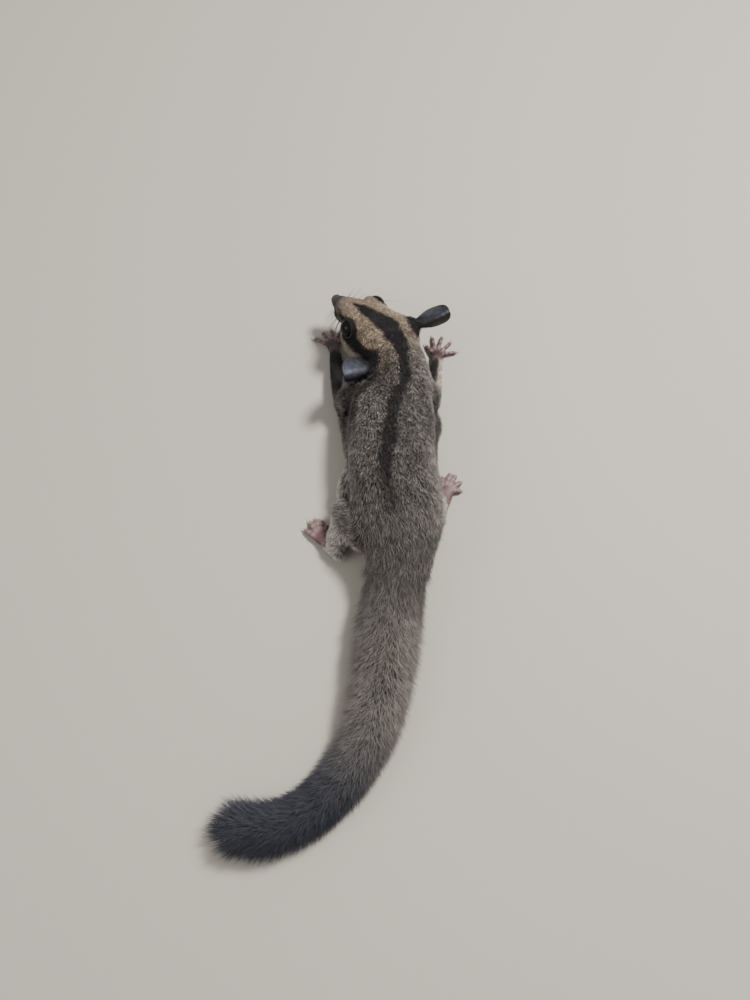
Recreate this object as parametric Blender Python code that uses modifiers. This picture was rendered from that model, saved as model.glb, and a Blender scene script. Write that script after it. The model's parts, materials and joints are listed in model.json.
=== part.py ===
"""A life-size sugar glider creeping on the floor, its head turned to its left and its tail laid behind it.

Everything is in metres, +Z up. The animal faces +Y, its own left is -X, and the floor is Z = 0.
The coat's outer shape is made of lofts and balls, fused by a voxel remesh and then parted by thin cuts.
"""

import math
import random

import bmesh
import bpy
from mathutils import Matrix, Vector
from mathutils.bvhtree import BVHTree

MM = 0.001
SEAM = 0.3 * MM  # the gap that two nodes keep where they meet
BIG = 400 * MM  # a cutter's size where it has to pass everything
SEED = 7

# The head, in its own frame: X to its right, Y to the nose, Z up, zero between the ears.
HEAD_PLACE = Vector((17.6, 101.8, 20.4)) * MM
HEAD_YAW = math.radians(45)  # to the animal's left
HEAD_PITCH = math.radians(8)  # nose up
HEAD_ROLL = math.radians(-2)  # crown leans to the left
HEAD_TRIANGLES = 1450
BODY_TRIANGLES = 2400
PAW_TRIANGLES = 340
EYE_RADIUS = 4.5 * MM
EYE_CENTRE = Vector((8.6, 14.0, 1.8)) * MM  # the right eye's
LID_RADIUS = 0.85 * MM
LID_RING = 4.35 * MM  # the ring that the lids make round the eye
LID_FORWARD = 1.8 * MM  # of the eye's middle
NOSE_CENTRE = Vector((0, 30.6, -4.2)) * MM
NOSE_SIZE = Vector((2.5, 1.7, 1.9)) * MM
OCCIPUT_Y = -11.0 * MM  # where the head meets the neck
EAR_LENGTH = 20.5 * MM
EAR_THICKNESS = 0.7 * MM
# Along the ear from root to tip: share of the length, half width laid flat in mm, half angle of the roll.
EAR = (
    (0.0, 3.6, 2.1),
    (0.14, 5.8, 1.7),
    (0.3, 7.8, 1.3),
    (0.48, 8.5, 1.08),
    (0.66, 8.4, 0.98),
    (0.82, 7.0, 0.9),
    (0.93, 4.8, 0.8),
    (1.0, 2.2, 0.7),
)
EAR_COLUMNS = 10  # strips across an ear, an even number so that one edge runs along its middle
EAR_BOW = 4.8 * MM  # how far the ear's middle bends away from its hollow
EAR_FOLD = (0.2, 0.22)  # the lengthwise fold's place and half breadth, from the middle to the rear edge as 1
# Root, reach and the way the hollow faces in the head's frame, and the side of the rear edge across the ear.
EAR_POSES = {
    "left": ((-12.0, -8.4, 5.2), (-0.863, 0.269, 0.42), (0.21, 0.64, -0.75), 1),
    "right": ((10.0, -4.2, 6.0), (0.80, -0.50, 0.34), (0.33, 0.33, -0.88), -1),
}

TAIL_SUNK = 0.3 * MM  # how far the tail's underside is pressed flat
CORE_FLATTEN = 0.95  # the core's height as a share of its width
COAT_FLATTEN = 0.88  # the coat's height over the centre line as a share of its half width
LOCK_PITCH = 11.4 * MM  # from one ring of locks to the next
LOCKS_AROUND = 7
LOCK_LOWEST = math.radians(-30)  # the angle of a ring's first and last lock, below level
LOCK_RUN = 17.5 * MM  # how far back a lock reaches along the tail
FUNNEL_WIDTH = 1.12  # of the cut between two lengths, past the coat's own half width
LOCK_SUNK = 2.6 * MM  # how deep its root sits in the core
LOCK_HALF_WIDTH = 4.1 * MM
LOCK_HALF_THICKNESS = 0.75 * MM
# Along a lock from root to tip: its shares of the run, the rise, the width and the thickness.
LOCK = (
    (0.0, 0.0, 0.5, 1.0),
    (0.36, 0.66, 0.88, 1.0),
    (0.72, 0.93, 0.8, 0.72),
    (1.0, 1.0, 0.0, 0.0),
)

# Stations of each mass: centre x, y, z, half width and half height, in millimetres.
TORSO = (
    (22.5, 80, 19.5, 15.5, 12.5),
    (21.5, 72, 19.2, 17.8, 13.8),
    (21.0, 63, 18.6, 19.4, 15.0),
    (20.8, 51, 18.0, 19.6, 15.8),
    (21.4, 40, 18.0, 19.2, 16.0),
    (22.4, 24, 18.0, 19.4, 16.0),
    (23.8, 10, 17.2, 19.0, 15.2),
    (23.8, -2, 14.8, 15.4, 13.2),
    (23.0, -11, 12.6, 13.4, 11.8),
    (21.8, -19, 11.8, 13.4, 11.6),
)
NECK = (
    (22.5, 72, 19.5, 17.0, 13.2),
    (23.4, 82, 20.0, 15.6, 12.8),
    (21.8, 91, 20.5, 14.0, 12.2),
    (17.8, 99, 20.5, 12.4, 11.2),
)
SHOULDER_PLACE = Vector((7.6, 82, 13)) * MM  # fills the hollow between the neck and the left arm
SHOULDER_SIZE = Vector((7.4, 9, 9)) * MM
UPPER_ARM = {
    "left": ((9, 80, 15, 7, 8), (3.2, 76, 12, 6.4, 7), (-0.2, 73, 9, 5.6, 5.8)),
    "right": ((34, 80, 15, 7, 8), (37.4, 76.5, 12, 6.2, 7), (38.4, 73, 9, 5.4, 5.8)),
}
FOREARM = {
    "left": ((-0.2, 73, 8.5, 5.2, 5.4), (-3.4, 88, 6.6, 4.2, 4.6), (-5.5, 103, 4.0, 3.1, 3.0)),
    "right": ((38.4, 73, 8.5, 5.2, 5.4), (41.0, 84, 6.6, 4.2, 4.6), (42.9, 97.4, 4.0, 3.1, 3.0)),
}
THIGH = {
    "left": ((12, 8, 15, 10, 11), (6, 14, 12.5, 9, 10), (1.4, 18.5, 10.5, 7.2, 7.8)),
    "right": ((32, 6, 15, 10, 11), (35.5, 16, 12.5, 8.4, 10), (37.0, 29, 10, 6.4, 7.4)),
}
SHANK = {
    "left": ((1.4, 18, 10, 7.0, 7.6), (-1.0, 11, 7.6, 6.0, 6.4), (-3.4, 6, 5.3, 5.0, 4.9)),
    "right": ((37.4, 29, 9.5, 6.4, 6.8), (39.6, 22.5, 7.2, 6.0, 6.0), (41.0, 17.5, 5.4, 4.8, 4.8)),
}
MEMBRANE = {
    "left": (
        (-1.4, 68, 9, 2.8, 4.2),
        (0.0, 62, 10, 3.4, 5.4),
        (1.0, 56, 10, 3.0, 5.2),
        (2.4, 49, 10, 3.2, 5.6),
        (3.6, 43, 10, 3.0, 5.0),
        (2.0, 37, 10, 3.6, 5.8),
        (0.0, 30.5, 9, 3.8, 5.4),
        (-0.2, 25.5, 8, 2.4, 3.8),
    ),
    "right": (
        (40.8, 68, 9, 2.6, 4.0),
        (41.2, 61, 10, 3.4, 5.6),
        (39.8, 55, 10, 2.8, 5.0),
        (38.8, 48.5, 10, 3.2, 5.8),
        (38.8, 42, 10, 3.0, 5.2),
        (39.6, 36, 10, 3.2, 5.4),
        (41.0, 30.5, 9, 3.0, 5.0),
        (42.0, 26.5, 8, 1.8, 3.2),
    ),
}
# The tail's centre line on the floor, the core's half width and the coat's, in millimetres.
TAIL = (
    (23.2, -12, 12.0, 13.2),
    (21.0, -22, 10.6, 14.8),
    (19.4, -31, 9.0, 15.0),
    (17.4, -47.3, 8.3, 14.0),
    (15.1, -63.6, 8.0, 12.6),
    (9.8, -79.4, 7.4, 11.9),
    (1.2, -94.4, 6.4, 10.8),
    (-11.4, -106.6, 5.8, 10.4),
    (-25.0, -114.0, 5.4, 11.2),
    (-33.8, -115.2, 4.4, 11.2),
    (-38.9, -114.6, 2.4, 9.8),
)
TAIL_SEAMS = (3, 6, 9)  # the rings of locks that each next length starts with
TAIL_NODES = ("tail_root", "tail_upper", "tail_lower", "tail_tip")

# Each paw: where its wrist or ankle is, its palm's centre, and the tips of its digits, first to fifth.
HAND = {
    "left": {
        "wrist": (-5.5, 103.0, 4.2),
        "palm": (-6.7, 108.6, 2.4),
        "tips": ((-0.6, 113.2), (-3.2, 118.0), (-7.6, 119.2), (-12.6, 117.8), (-17.2, 113.8)),
    },
    "right": {
        "wrist": (43.0, 97.6, 4.2),
        "palm": (43.3, 103.4, 2.4),
        "tips": ((37.2, 110.4), (40.9, 115.2), (46.2, 115.4), (51.0, 112.0), (53.8, 105.6)),
    },
}
FOOT = {
    "left": {
        "wrist": (-4.8, 5.2, 4.0),
        "palm": (-10.6, 11.6, 2.6),
        "tips": ((-7.6, 18.0), (-11.0, 20.6), (-13.4, 21.0), (-16.4, 19.6), (-19.0, 15.6)),
    },
    "right": {
        "wrist": (41.6, 19.6, 4.0),
        "palm": (46.0, 33.4, 2.6),
        "tips": ((44.6, 41.6), (48.6, 43.2), (51.2, 42.2), (54.0, 38.6), (54.2, 33.6)),
    },
}
DIGIT_RADIUS = 0.95 * MM
# Along a digit from root to pad: share of its length, share of its arch, share of its radius.
DIGIT = (
    (0, 0.4, 1.1),
    (0.3, 0.95, 1.12),
    (0.5, 1.0, 0.92),
    (0.72, 0.75, 1.05),
    (0.9, 0.3, 1.18),
    (1, 0.1, 0.95),
)
PALM_WIDTHS = (0.74, 0.78, 0.84, 0.92, 1, 1.02, 1.02, 0.98, 0.92, 0.85)  # shares, from the wrist on
PALM_HEIGHTS = (1.25, 1.15, 1.05, 1, 0.95, 0.92, 0.9, 0.85, 0.8, 0.75)
CLAW_LENGTH = 2.4 * MM

SIDES = ("left", "right")


def clear_scene():
    for obj in list(bpy.data.objects):
        bpy.data.objects.remove(obj)


def collection(name):
    made = bpy.data.collections.new(name)
    bpy.context.scene.collection.children.link(made)
    return made


def material(name, colour, roughness):
    made = bpy.data.materials.new(name)
    made.use_nodes = True
    shader = made.node_tree.nodes["Principled BSDF"]
    shader.inputs["Base Color"].default_value = (*colour, 1)
    shader.inputs["Roughness"].default_value = roughness
    shader.inputs["Metallic"].default_value = 0
    return made


def new_object(name, bm):
    """An object holding the bmesh, left out of the render until it is kept as a node."""
    mesh = bpy.data.meshes.new(name)
    bm.to_mesh(mesh)
    bm.free()
    obj = bpy.data.objects.new(name, mesh)
    obj.hide_render = True
    helpers.objects.link(obj)
    return obj


def frames_along(points):
    """(tangent, side, up) at each point of a path, with side kept level."""
    found = []
    for i in range(len(points)):
        tangent = (points[min(i + 1, len(points) - 1)] - points[max(i - 1, 0)]).normalized()
        side = tangent.cross(Vector((0, 0, 1))).normalized()
        found.append((tangent, side, side.cross(tangent).normalized()))
    return found


def smooth_path(points, steps):
    """Points read from a Catmull-Rom curve through the given vectors, steps to a span."""
    padded = [points[0] * 2 - points[1], *points, points[-1] * 2 - points[-2]]
    read = []
    for a, b, c, d in zip(padded, padded[1:], padded[2:], padded[3:]):
        for i in range(steps):
            t = i / steps
            square = 2 * a - 5 * b + 4 * c - d
            cube = 3 * b - a - 3 * c + d
            read.append(0.5 * (2 * b + (c - a) * t + square * t**2 + cube * t**3))
    return [*read, points[-1].copy()]


def domed(ring, out, size):
    """A ring of a tube's domed end: the end's own ring moved outwards and made smaller."""
    point, width, height, frame = ring
    return point + frame[0] * (height * out), width * size, height * size, frame


def tube(name, points, widths, heights, sides=16, round_ends=True):
    """A closed loft of ellipses along a path, with domed ends."""
    frames = frames_along(points)
    rings = list(zip(points, widths, heights, frames))
    if round_ends:
        first, last = rings[0], rings[-1]
        dome = ((0.5, 0.87), (0.85, 0.53))  # share of the end's size outwards, share of its ring
        for out, size in dome:
            rings.insert(0, domed(first, -out, size))
            rings.append(domed(last, out, size))
    bm = bmesh.new()
    made = []
    for centre, width, height, (_, side, up) in rings:
        ring = []
        for k in range(sides):
            angle = 2 * math.pi * k / sides
            step = side * (width * math.cos(angle)) + up * (height * math.sin(angle))
            ring.append(bm.verts.new(centre + step))
        made.append(ring)
    for a, b in zip(made, made[1:]):
        for k in range(sides):
            bm.faces.new((a[k], a[(k + 1) % sides], b[(k + 1) % sides], b[k]))
    bm.faces.new(made[0])
    bm.faces.new(made[-1])
    bmesh.ops.recalc_face_normals(bm, faces=bm.faces)
    return new_object(name, bm)


def limb(name, stations, steps=4, sides=16):
    """A tube through stations of centre, half width and half height, in millimetres."""
    read = smooth_path([Vector(station) for station in stations], steps)
    points = [Vector(p[:3]) * MM for p in read]
    return tube(name, points, [p[3] * MM for p in read], [p[4] * MM for p in read], sides)


def ball(name, centre, radii, turn=None, segments=24, rings=16):
    bm = bmesh.new()
    bmesh.ops.create_uvsphere(bm, u_segments=segments, v_segments=rings, radius=1)
    shape = Matrix.Translation(centre) @ (turn or Matrix.Identity(4)) @ Matrix.Diagonal((*radii, 1))
    bmesh.ops.transform(bm, matrix=shape, verts=bm.verts)
    return new_object(name, bm)


def box(name, low, high, turn=None):
    low, high = Vector(low), Vector(high)
    bm = bmesh.new()
    bmesh.ops.create_cube(bm, size=1)
    size = high - low
    shape = (turn or Matrix.Identity(4)) @ Matrix.Translation((low + high) / 2) @ Matrix.Diagonal((*size, 1))
    bmesh.ops.transform(bm, matrix=shape, verts=bm.verts)
    return new_object(name, bm)


def half_space(name, point, normal):
    """A cutter that fills everything on the side of the plane that the normal points to."""
    turn = Vector((0, 0, 1)).rotation_difference(Vector(normal)).to_matrix().to_4x4()
    return box(name, (-BIG, -BIG, 0), (BIG, BIG, BIG), Matrix.Translation(point) @ turn)


def drop(*objects):
    for obj in objects:
        bpy.data.objects.remove(obj)


def baked(obj, name=None):
    """The object's evaluated mesh as a new plain object, in place of the old one."""
    graph = bpy.context.evaluated_depsgraph_get()
    mesh = bpy.data.meshes.new_from_object(obj.evaluated_get(graph))
    mesh.transform(obj.matrix_world)
    made = bpy.data.objects.new(name or obj.name, mesh)
    made.hide_render = True
    helpers.objects.link(made)
    drop(obj)
    return made


def joined(name, objects):
    bm = bmesh.new()
    for obj in objects:
        bm.from_mesh(obj.data)
    drop(*objects)
    return new_object(name, bm)


def fused(name, objects, voxel, smoothing, triangles):
    """Closed masses made one soft skin: voxel remesh, smoothing, then fewer triangles."""
    obj = joined(name, objects)
    remesh = obj.modifiers.new("fuse", "REMESH")
    remesh.mode = "VOXEL"
    remesh.voxel_size = voxel
    smooth = obj.modifiers.new("soften", "SMOOTH")
    smooth.factor = 0.5
    smooth.iterations = smoothing
    obj = baked(obj, name)
    faces = 2 * len(obj.data.polygons)
    fewer = obj.modifiers.new("fewer", "DECIMATE")
    fewer.use_collapse_triangulate = True
    fewer.ratio = min(1.0, triangles / faces)
    return baked(obj, name)


def boolean(obj, operation, other):
    """The object joined to, cut by or kept inside the other, which is used up."""
    modifier = obj.modifiers.new(operation, "BOOLEAN")
    modifier.operation = operation
    modifier.solver = "MANIFOLD"
    modifier.object = other
    name = obj.name
    made = baked(obj)
    made.name = name
    drop(other)
    return made


def copied(obj, name):
    copy = bpy.data.objects.new(name, obj.data.copy())
    copy.hide_render = True
    helpers.objects.link(copy)
    return copy


def swollen(obj, by):
    """A copy of the object grown by a distance, to cut a neighbour clear of it."""
    copy = copied(obj, obj.name + "_clearance")
    grow = copy.modifiers.new("grow", "DISPLACE")
    grow.strength = by
    grow.mid_level = 0
    return baked(copy)


def clear_of(obj, other):
    """The object cut back from the other by the seam's gap, in its largest piece."""
    return largest_shell(boolean(obj, "DIFFERENCE", swollen(other, SEAM)))


def shells(bm):
    """The connected pieces of a bmesh, as lists of vertices."""
    left = set(bm.verts)
    while left:
        stack = [left.pop()]
        found = list(stack)
        while stack:
            for edge in stack.pop().link_edges:
                for vert in edge.verts:
                    if vert in left:
                        left.remove(vert)
                        stack.append(vert)
                        found.append(vert)
        yield found


def largest_shell(obj):
    """The object with only its largest closed surface."""
    bm = bmesh.new()
    bm.from_mesh(obj.data)
    pieces = sorted(shells(bm), key=len)
    for verts in pieces[:-1]:
        bmesh.ops.delete(bm, geom=verts, context="VERTS")
    bm.to_mesh(obj.data)
    bm.free()
    return obj


def part_off(whole, name, place, normal, length):
    """Cuts a limb off by a plane that reaches only so far along Y, and returns the limb and what is left."""
    normal = Vector(normal).normalized()
    along = Vector((0, 1, 0))
    along = (along - normal * along.dot(normal)).normalized()
    turn = Matrix((along.cross(normal), along, normal)).transposed().to_4x4()
    frame = Matrix.Translation(Vector(place) * MM) @ turn
    half = Vector((40, length / 2, 0)) * MM
    low, high = -half + Vector((0, 0, SEAM / 2)), half + Vector((0, 0, BIG))
    grow = Vector((SEAM / 2, SEAM / 2, SEAM))
    piece = boolean(copied(whole, name), "INTERSECT", box("inside", low, high, frame))
    rest = boolean(whole, "DIFFERENCE", box("outside", low - grow, high + grow, frame))
    return largest_shell(piece), largest_shell(rest)


def split(whole, name, point, normal):
    """Cuts the whole by a plane, and returns the piece that the normal points to and what is left."""
    normal = Vector(normal).normalized()
    behind = half_space("behind", point + normal * (SEAM / 2), -normal)
    piece = boolean(copied(whole, name), "DIFFERENCE", behind)
    rest = boolean(whole, "DIFFERENCE", half_space("ahead", point - normal * (SEAM / 2), normal))
    return largest_shell(piece), largest_shell(rest)


def on_floor(obj):
    """Trims what would reach under the floor, which leaves the small flats that the animal rests on."""
    return boolean(obj, "DIFFERENCE", half_space("floor", Vector((0, 0, 0)), (0, 0, -1)))


def keep(obj, name, finish):
    """Makes the object a node of the animal."""
    helpers.objects.unlink(obj)
    animal.objects.link(obj)
    obj.name = name
    obj.data.name = name
    obj.hide_render = False
    obj.data.materials.clear()
    obj.data.materials.append(finish)
    obj.data.shade_smooth()
    obj.data.set_sharp_from_angle(angle=math.radians(45))
    return obj


def head_frame():
    turn = (
        Matrix.Rotation(HEAD_YAW, 4, "Z")
        @ Matrix.Rotation(HEAD_PITCH, 4, "X")
        @ Matrix.Rotation(HEAD_ROLL, 4, "Y")
    )
    return Matrix.Translation(HEAD_PLACE) @ turn


def head_masses():
    """The skull, brow, cheeks, muzzle and jaw, in the head's own frame."""
    snout = (
        (0, 6, 0.4, 12.6, 10.6),
        (0, 13, -0.4, 10.6, 9.2),
        (0, 19.5, -2.0, 7.6, 7.0),
        (0, 25, -3.5, 5.2, 5.0),
        (0, 29.4, -4.5, 3.3, 3.1),
    )
    jaw = (
        (0, 8, -6.0, 8.6, 4.6),
        (0, 15, -7.2, 6.2, 3.6),
        (0, 21.5, -7.8, 4.2, 2.7),
        (0, 26.4, -7.9, 2.6, 1.8),
    )
    masses = [
        ball("skull", Vector((0, -2.6, 0.6)) * MM, Vector((14.6, 15.0, 12.0)) * MM),
        ball("forehead", Vector((0, 7.0, 3.2)) * MM, Vector((10.8, 12.0, 8.4)) * MM),
        limb("snout", snout),
        limb("jaw", jaw),
    ]
    for sign in (-1, 1):
        masses += [
            ball("cheek", Vector((sign * 7.6, 7.0, -4.2)) * MM, Vector((7.0, 10.5, 6.4)) * MM),
            ball("brow", Vector((sign * 6.1, 13.2, 5.0)) * MM, Vector((4.4, 6.2, 3.0)) * MM),
            ball("orbit", eye_centre(sign) - eye_axis(sign) * (1.9 * MM), Vector((5.9, 5.9, 5.7)) * MM),
            ball("whisker_pad", Vector((sign * 3.3, 22.6, -5.4)) * MM, Vector((3.3, 5.2, 3.1)) * MM),
            ball("ear_root", Vector((sign * 11.0, -5.4, 5.6)) * MM, Vector((4.2, 5.4, 4.4)) * MM),
        ]
    return masses


def eye_axis(sign):
    return Vector((sign * 0.86, 0.40, 0.32)).normalized()


def eye_centre(sign):
    return Vector((sign * EYE_CENTRE.x, EYE_CENTRE.y, EYE_CENTRE.z))


def lids(sign):
    """A ring round the eye, a little forward of its middle, which makes the upper and lower lid."""
    axis = eye_axis(sign)
    turn = Vector((0, 0, 1)).rotation_difference(axis).to_matrix().to_4x4()
    centre = eye_centre(sign) + axis * LID_FORWARD
    ring = []
    for k in range(24):
        angle = 2 * math.pi * k / 24
        flat = Vector((math.cos(angle), math.sin(angle), 0)) * LID_RING
        ring.append(centre + turn.to_3x3() @ flat)
    curve = bpy.data.curves.new("lid", "CURVE")
    curve.dimensions = "3D"
    curve.bevel_depth = LID_RADIUS
    curve.bevel_resolution = 2
    spline = curve.splines.new("POLY")
    spline.points.add(len(ring) - 1)
    for point, place in zip(spline.points, ring):
        point.co = (*place, 1)
    spline.use_cyclic_u = True
    obj = bpy.data.objects.new("lid", curve)
    helpers.objects.link(obj)
    return baked(obj)


def surface_tree(obj):
    bm = bmesh.new()
    bm.from_mesh(obj.data)
    tree = BVHTree.FromBMesh(bm)
    bm.free()
    return tree


def mouth_line(head, sign):
    """Points on the muzzle's side along the closed mouth, from under the nose to the cheek."""
    tree = surface_tree(head)
    points = []
    for i in range(11):
        t = i / 10
        y = (28.6 - 14.0 * t) * MM
        z = (-6.9 - 0.9 * math.sin(math.pi * t * 0.9) + 1.8 * t * t) * MM
        start = Vector((sign * 20 * MM, y, z))
        points.append(tree.ray_cast(start, Vector((-sign, 0, 0)))[0])
    return points


def thread(name, points, radius):
    """A thin round tube through the points, for a lip or for the cut of the mouth."""
    smooth = smooth_path(points, 1)
    sizes = []
    for i in range(len(smooth)):
        swell = math.sin(math.pi * min(1, 0.15 + i / len(smooth)))
        sizes.append(radius * (0.6 + 0.4 * swell))
    return tube(name, smooth, sizes, sizes, sides=6)


def make_head():
    place = head_frame()
    bare = fused("bare_head", head_masses(), 0.8 * MM, 12, 9000)
    extras = []
    for sign in (-1, 1):
        extras += [thread("lip", mouth_line(bare, sign), 0.75 * MM), lids(sign)]
    head = fused("head", [bare, *extras], 0.55 * MM, 2, HEAD_TRIANGLES)
    grooves = [thread("mouth", mouth_line(head, sign), 0.42 * MM) for sign in (-1, 1)]
    for groove in grooves:
        head = boolean(head, "DIFFERENCE", groove)
    eyes = {}
    for sign, side in ((-1, "left"), (1, "right")):
        centre, unit = eye_centre(sign), Vector((1, 1, 1))
        socket = ball("socket", centre, unit * (EYE_RADIUS + SEAM), segments=14, rings=10)
        head = boolean(head, "DIFFERENCE", socket)
        eyes[side] = ball("eye_" + side, centre, unit * EYE_RADIUS, segments=14, rings=10)
    nose = make_nose()
    head = boolean(head, "DIFFERENCE", swollen(nose, SEAM))
    for obj in (head, nose, *eyes.values()):
        obj.data.transform(place)
    return head, nose, eyes


def make_nose():
    """The bare nose pad with two nostrils that open forwards and outwards."""
    nose = ball("nose", NOSE_CENTRE, NOSE_SIZE, segments=14, rings=8)
    for sign in (-1, 1):
        pit = NOSE_CENTRE + Vector((sign * 1.25, 1.25, -0.15)) * MM
        nostril = ball("nostril", pit, Vector((0.55, 0.8, 0.5)) * MM, segments=8, rings=6)
        nose = boolean(nose, "DIFFERENCE", nostril)
    return nose


def ear_section(half, roll, rear):
    """Offsets across the ear and into its hollow: a gentle curve with one lengthwise fold to the rear."""
    fold, breadth = EAR_FOLD
    strip = 2 * half / EAR_COLUMNS
    across, inward = [0.0], [0.0]
    for j in range(EAR_COLUMNS):
        s = rear * (2 * (j + 0.5) / EAR_COLUMNS - 1)
        angle = rear * roll * (0.35 * s + 0.65 * math.tanh((s - fold) / breadth))
        across.append(across[-1] + math.cos(angle) * strip)
        inward.append(inward[-1] + math.sin(angle) * strip)
    middle = EAR_COLUMNS // 2
    return [(a - across[middle], i - inward[middle]) for a, i in zip(across, inward)]


def make_ear(side, place, reach, hollow, rear):
    """A thin leaf rolled into a cup at its root, open at its tip and folded along its rear half."""
    along = Vector(reach).normalized()
    face = Vector(hollow)
    face = (face - along * face.dot(along)).normalized()
    sideways = along.cross(face)
    bm = bmesh.new()
    grid = []
    for t, half, roll in EAR:
        spine = along * (EAR_LENGTH * t) - face * (EAR_BOW * (t - t * t))
        row = []
        for across, inward in ear_section(half * MM, roll, rear):
            row.append(bm.verts.new(place + spine + sideways * across + face * inward))
        grid.append(row)
    for a, b in zip(grid, grid[1:]):
        for j in range(EAR_COLUMNS):
            bm.faces.new((a[j], a[j + 1], b[j + 1], b[j]))
    bmesh.ops.triangulate(bm, faces=bm.faces)  # alike on both faces of the wall
    ear = new_object("ear_" + side, bm)
    wall = ear.modifiers.new("wall", "SOLIDIFY")
    wall.thickness = EAR_THICKNESS
    wall.offset = 0
    return baked(ear)


def make_ears(head):
    place = head_frame()
    turn = place.to_3x3()
    ears = {}
    for side, (root, reach, hollow, rear) in EAR_POSES.items():
        ear = make_ear(side, place @ (Vector(root) * MM), turn @ Vector(reach), turn @ Vector(hollow), rear)
        ears[side] = clear_of(ear, head)
    return ears


def claw(tip, along, length):
    """A narrow hook that leaves the digit's tip forwards and bends down to the floor."""
    down = Vector((0, 0, -1))
    points, sizes = [], []
    for t, size in ((-0.5, 0.62), (0.0, 0.62), (0.5, 0.42), (1.0, 0.1)):
        points.append(tip + along * (length * t) + down * (length * 0.30 * max(0, t) ** 2))
        sizes.append(size * MM)
    return tube("claw", points, [s * 0.8 for s in sizes], sizes, sides=5, round_ends=False)


def digit(root, tip, radius, arch):
    """A finger with two knuckles, arched over the floor, and a round pad at its end."""
    points, sizes = [], []
    for t, lift, size in DIGIT:
        point = root.lerp(tip, t)
        point.z = radius * 0.9 + arch * lift
        points.append(point)
        sizes.append(radius * size)
    return tube("digit", points, sizes, sizes, sides=10)


def make_paw(name, data, arch, pad_size):
    """A palm or sole with five digits, fused, then its claws, and its underside flat on the floor."""
    wrist = Vector(data["wrist"]) * MM
    palm = Vector(data["palm"]) * MM
    heading = (palm - wrist).normalized()
    level = Vector((heading.x, heading.y, 0)).normalized()
    side = level.cross(Vector((0, 0, 1)))
    tips = [Vector((*t, 0)) * MM for t in data["tips"]]
    reach = sum(((t - palm).dot(level) for t in tips)) / len(tips)
    path = [wrist - heading * (2.0 * MM), wrist.lerp(palm, 0.55), palm, palm + level * (reach * 0.22)]
    for i, point in enumerate(path):
        point.z = (4.2, 3.0, 1.9, 1.6)[i] * MM
    wide, high = (size * MM for size in pad_size)
    widths, heights = [wide * share for share in PALM_WIDTHS], [high * share for share in PALM_HEIGHTS]
    masses = [tube("palm", smooth_path(path, 3), widths, heights)]
    claws = []
    for i, tip in enumerate(tips):
        spread = (i - 2) / 2
        root = palm + level * (reach * (0.15 - 0.10 * abs(spread)))
        root += side * (wide * 0.72 * side_order(tips, side) * spread)
        ahead = Vector(((tip - root).x, (tip - root).y, 0)).normalized()
        end = tip - ahead * (CLAW_LENGTH * 0.85)
        masses.append(digit(root, end, DIGIT_RADIUS, arch * MM))
        end.z = DIGIT_RADIUS * 1.15
        claws.append(claw(end + ahead * (DIGIT_RADIUS * 0.7), ahead, CLAW_LENGTH * 0.75))
    paw = fused(name, masses, 0.42 * MM, 3, PAW_TRIANGLES)
    paw = boolean(paw, "UNION", joined("claws", claws))
    return on_floor(paw)


def side_order(tips, side):
    """1 where the digits run towards the paw's side vector, -1 where they run away from it."""
    return 1 if (tips[-1] - tips[0]).dot(side) > 0 else -1


class TailLine:
    """The tail's centre line with the half widths of its core and its coat, read at any length along it."""

    def __init__(self, steps=3):
        read = smooth_path([Vector(station) * MM for station in TAIL], steps)
        self.cores = [p[2] for p in read]
        self.coats = [p[3] for p in read]
        self.points = [Vector((p[0], p[1], p[2] * CORE_FLATTEN - TAIL_SUNK)) for p in read]
        self.lengths = [0.0]
        for a, b in zip(self.points, self.points[1:]):
            self.lengths.append(self.lengths[-1] + (b - a).length)

    def at(self, wanted):
        """Point, tangent, side, up, core and coat. Past the last point the line runs straight on."""
        count = sum(1 for length in self.lengths if length <= wanted)
        i = min(max(count - 1, 0), len(self.points) - 2)
        t = (wanted - self.lengths[i]) / (self.lengths[i + 1] - self.lengths[i])
        tangent = (self.points[i + 1] - self.points[i]).normalized()
        side = tangent.cross(Vector((0, 0, 1))).normalized()
        share = min(t, 1.0)
        core = self.cores[i] + (self.cores[i + 1] - self.cores[i]) * share
        coat = self.coats[i] + (self.coats[i + 1] - self.coats[i]) * share
        return self.points[i].lerp(self.points[i + 1], t), tangent, side, side.cross(tangent), core, coat


def lock(line, start, angle, run, lift, turn):
    """A flat lock of hair that leaves the core at an angle round it, bends back and tapers to its tip."""
    bm = bmesh.new()
    rings = []
    for along, rise, wide, thick in LOCK:
        centre, tangent, side, up, core, coat = line.at(start + run * along)
        here = angle + turn * along
        out = side * math.cos(here) + up * (math.sin(here) * COAT_FLATTEN)
        across = (up * (math.cos(here) * COAT_FLATTEN) - side * math.sin(here)).normalized()
        inner = core - LOCK_SUNK
        centre = centre + out * (inner + (coat * lift - inner) * rise)
        centre.z = max(centre.z, 1.4 * MM)
        if wide == 0:
            rings.append([bm.verts.new(centre)])
            continue
        size = LOCK_HALF_WIDTH * wide * (0.55 + 0.45 * coat / (15 * MM))
        across *= size
        out = out.normalized() * (LOCK_HALF_THICKNESS * thick)
        rings.append([bm.verts.new(centre + step) for step in (across, out, -across, -out)])
    for a, b in zip(rings, rings[1:]):
        for k in range(4):
            last = (b[0],) if len(b) == 1 else (b[(k + 1) % 4], b[k])
            bm.faces.new((a[k], a[(k + 1) % 4], *last))
    bm.faces.new(rings[0][::-1])
    bmesh.ops.triangulate(bm, faces=bm.faces)
    bmesh.ops.recalc_face_normals(bm, faces=bm.faces)
    return new_object("lock", bm)


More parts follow.
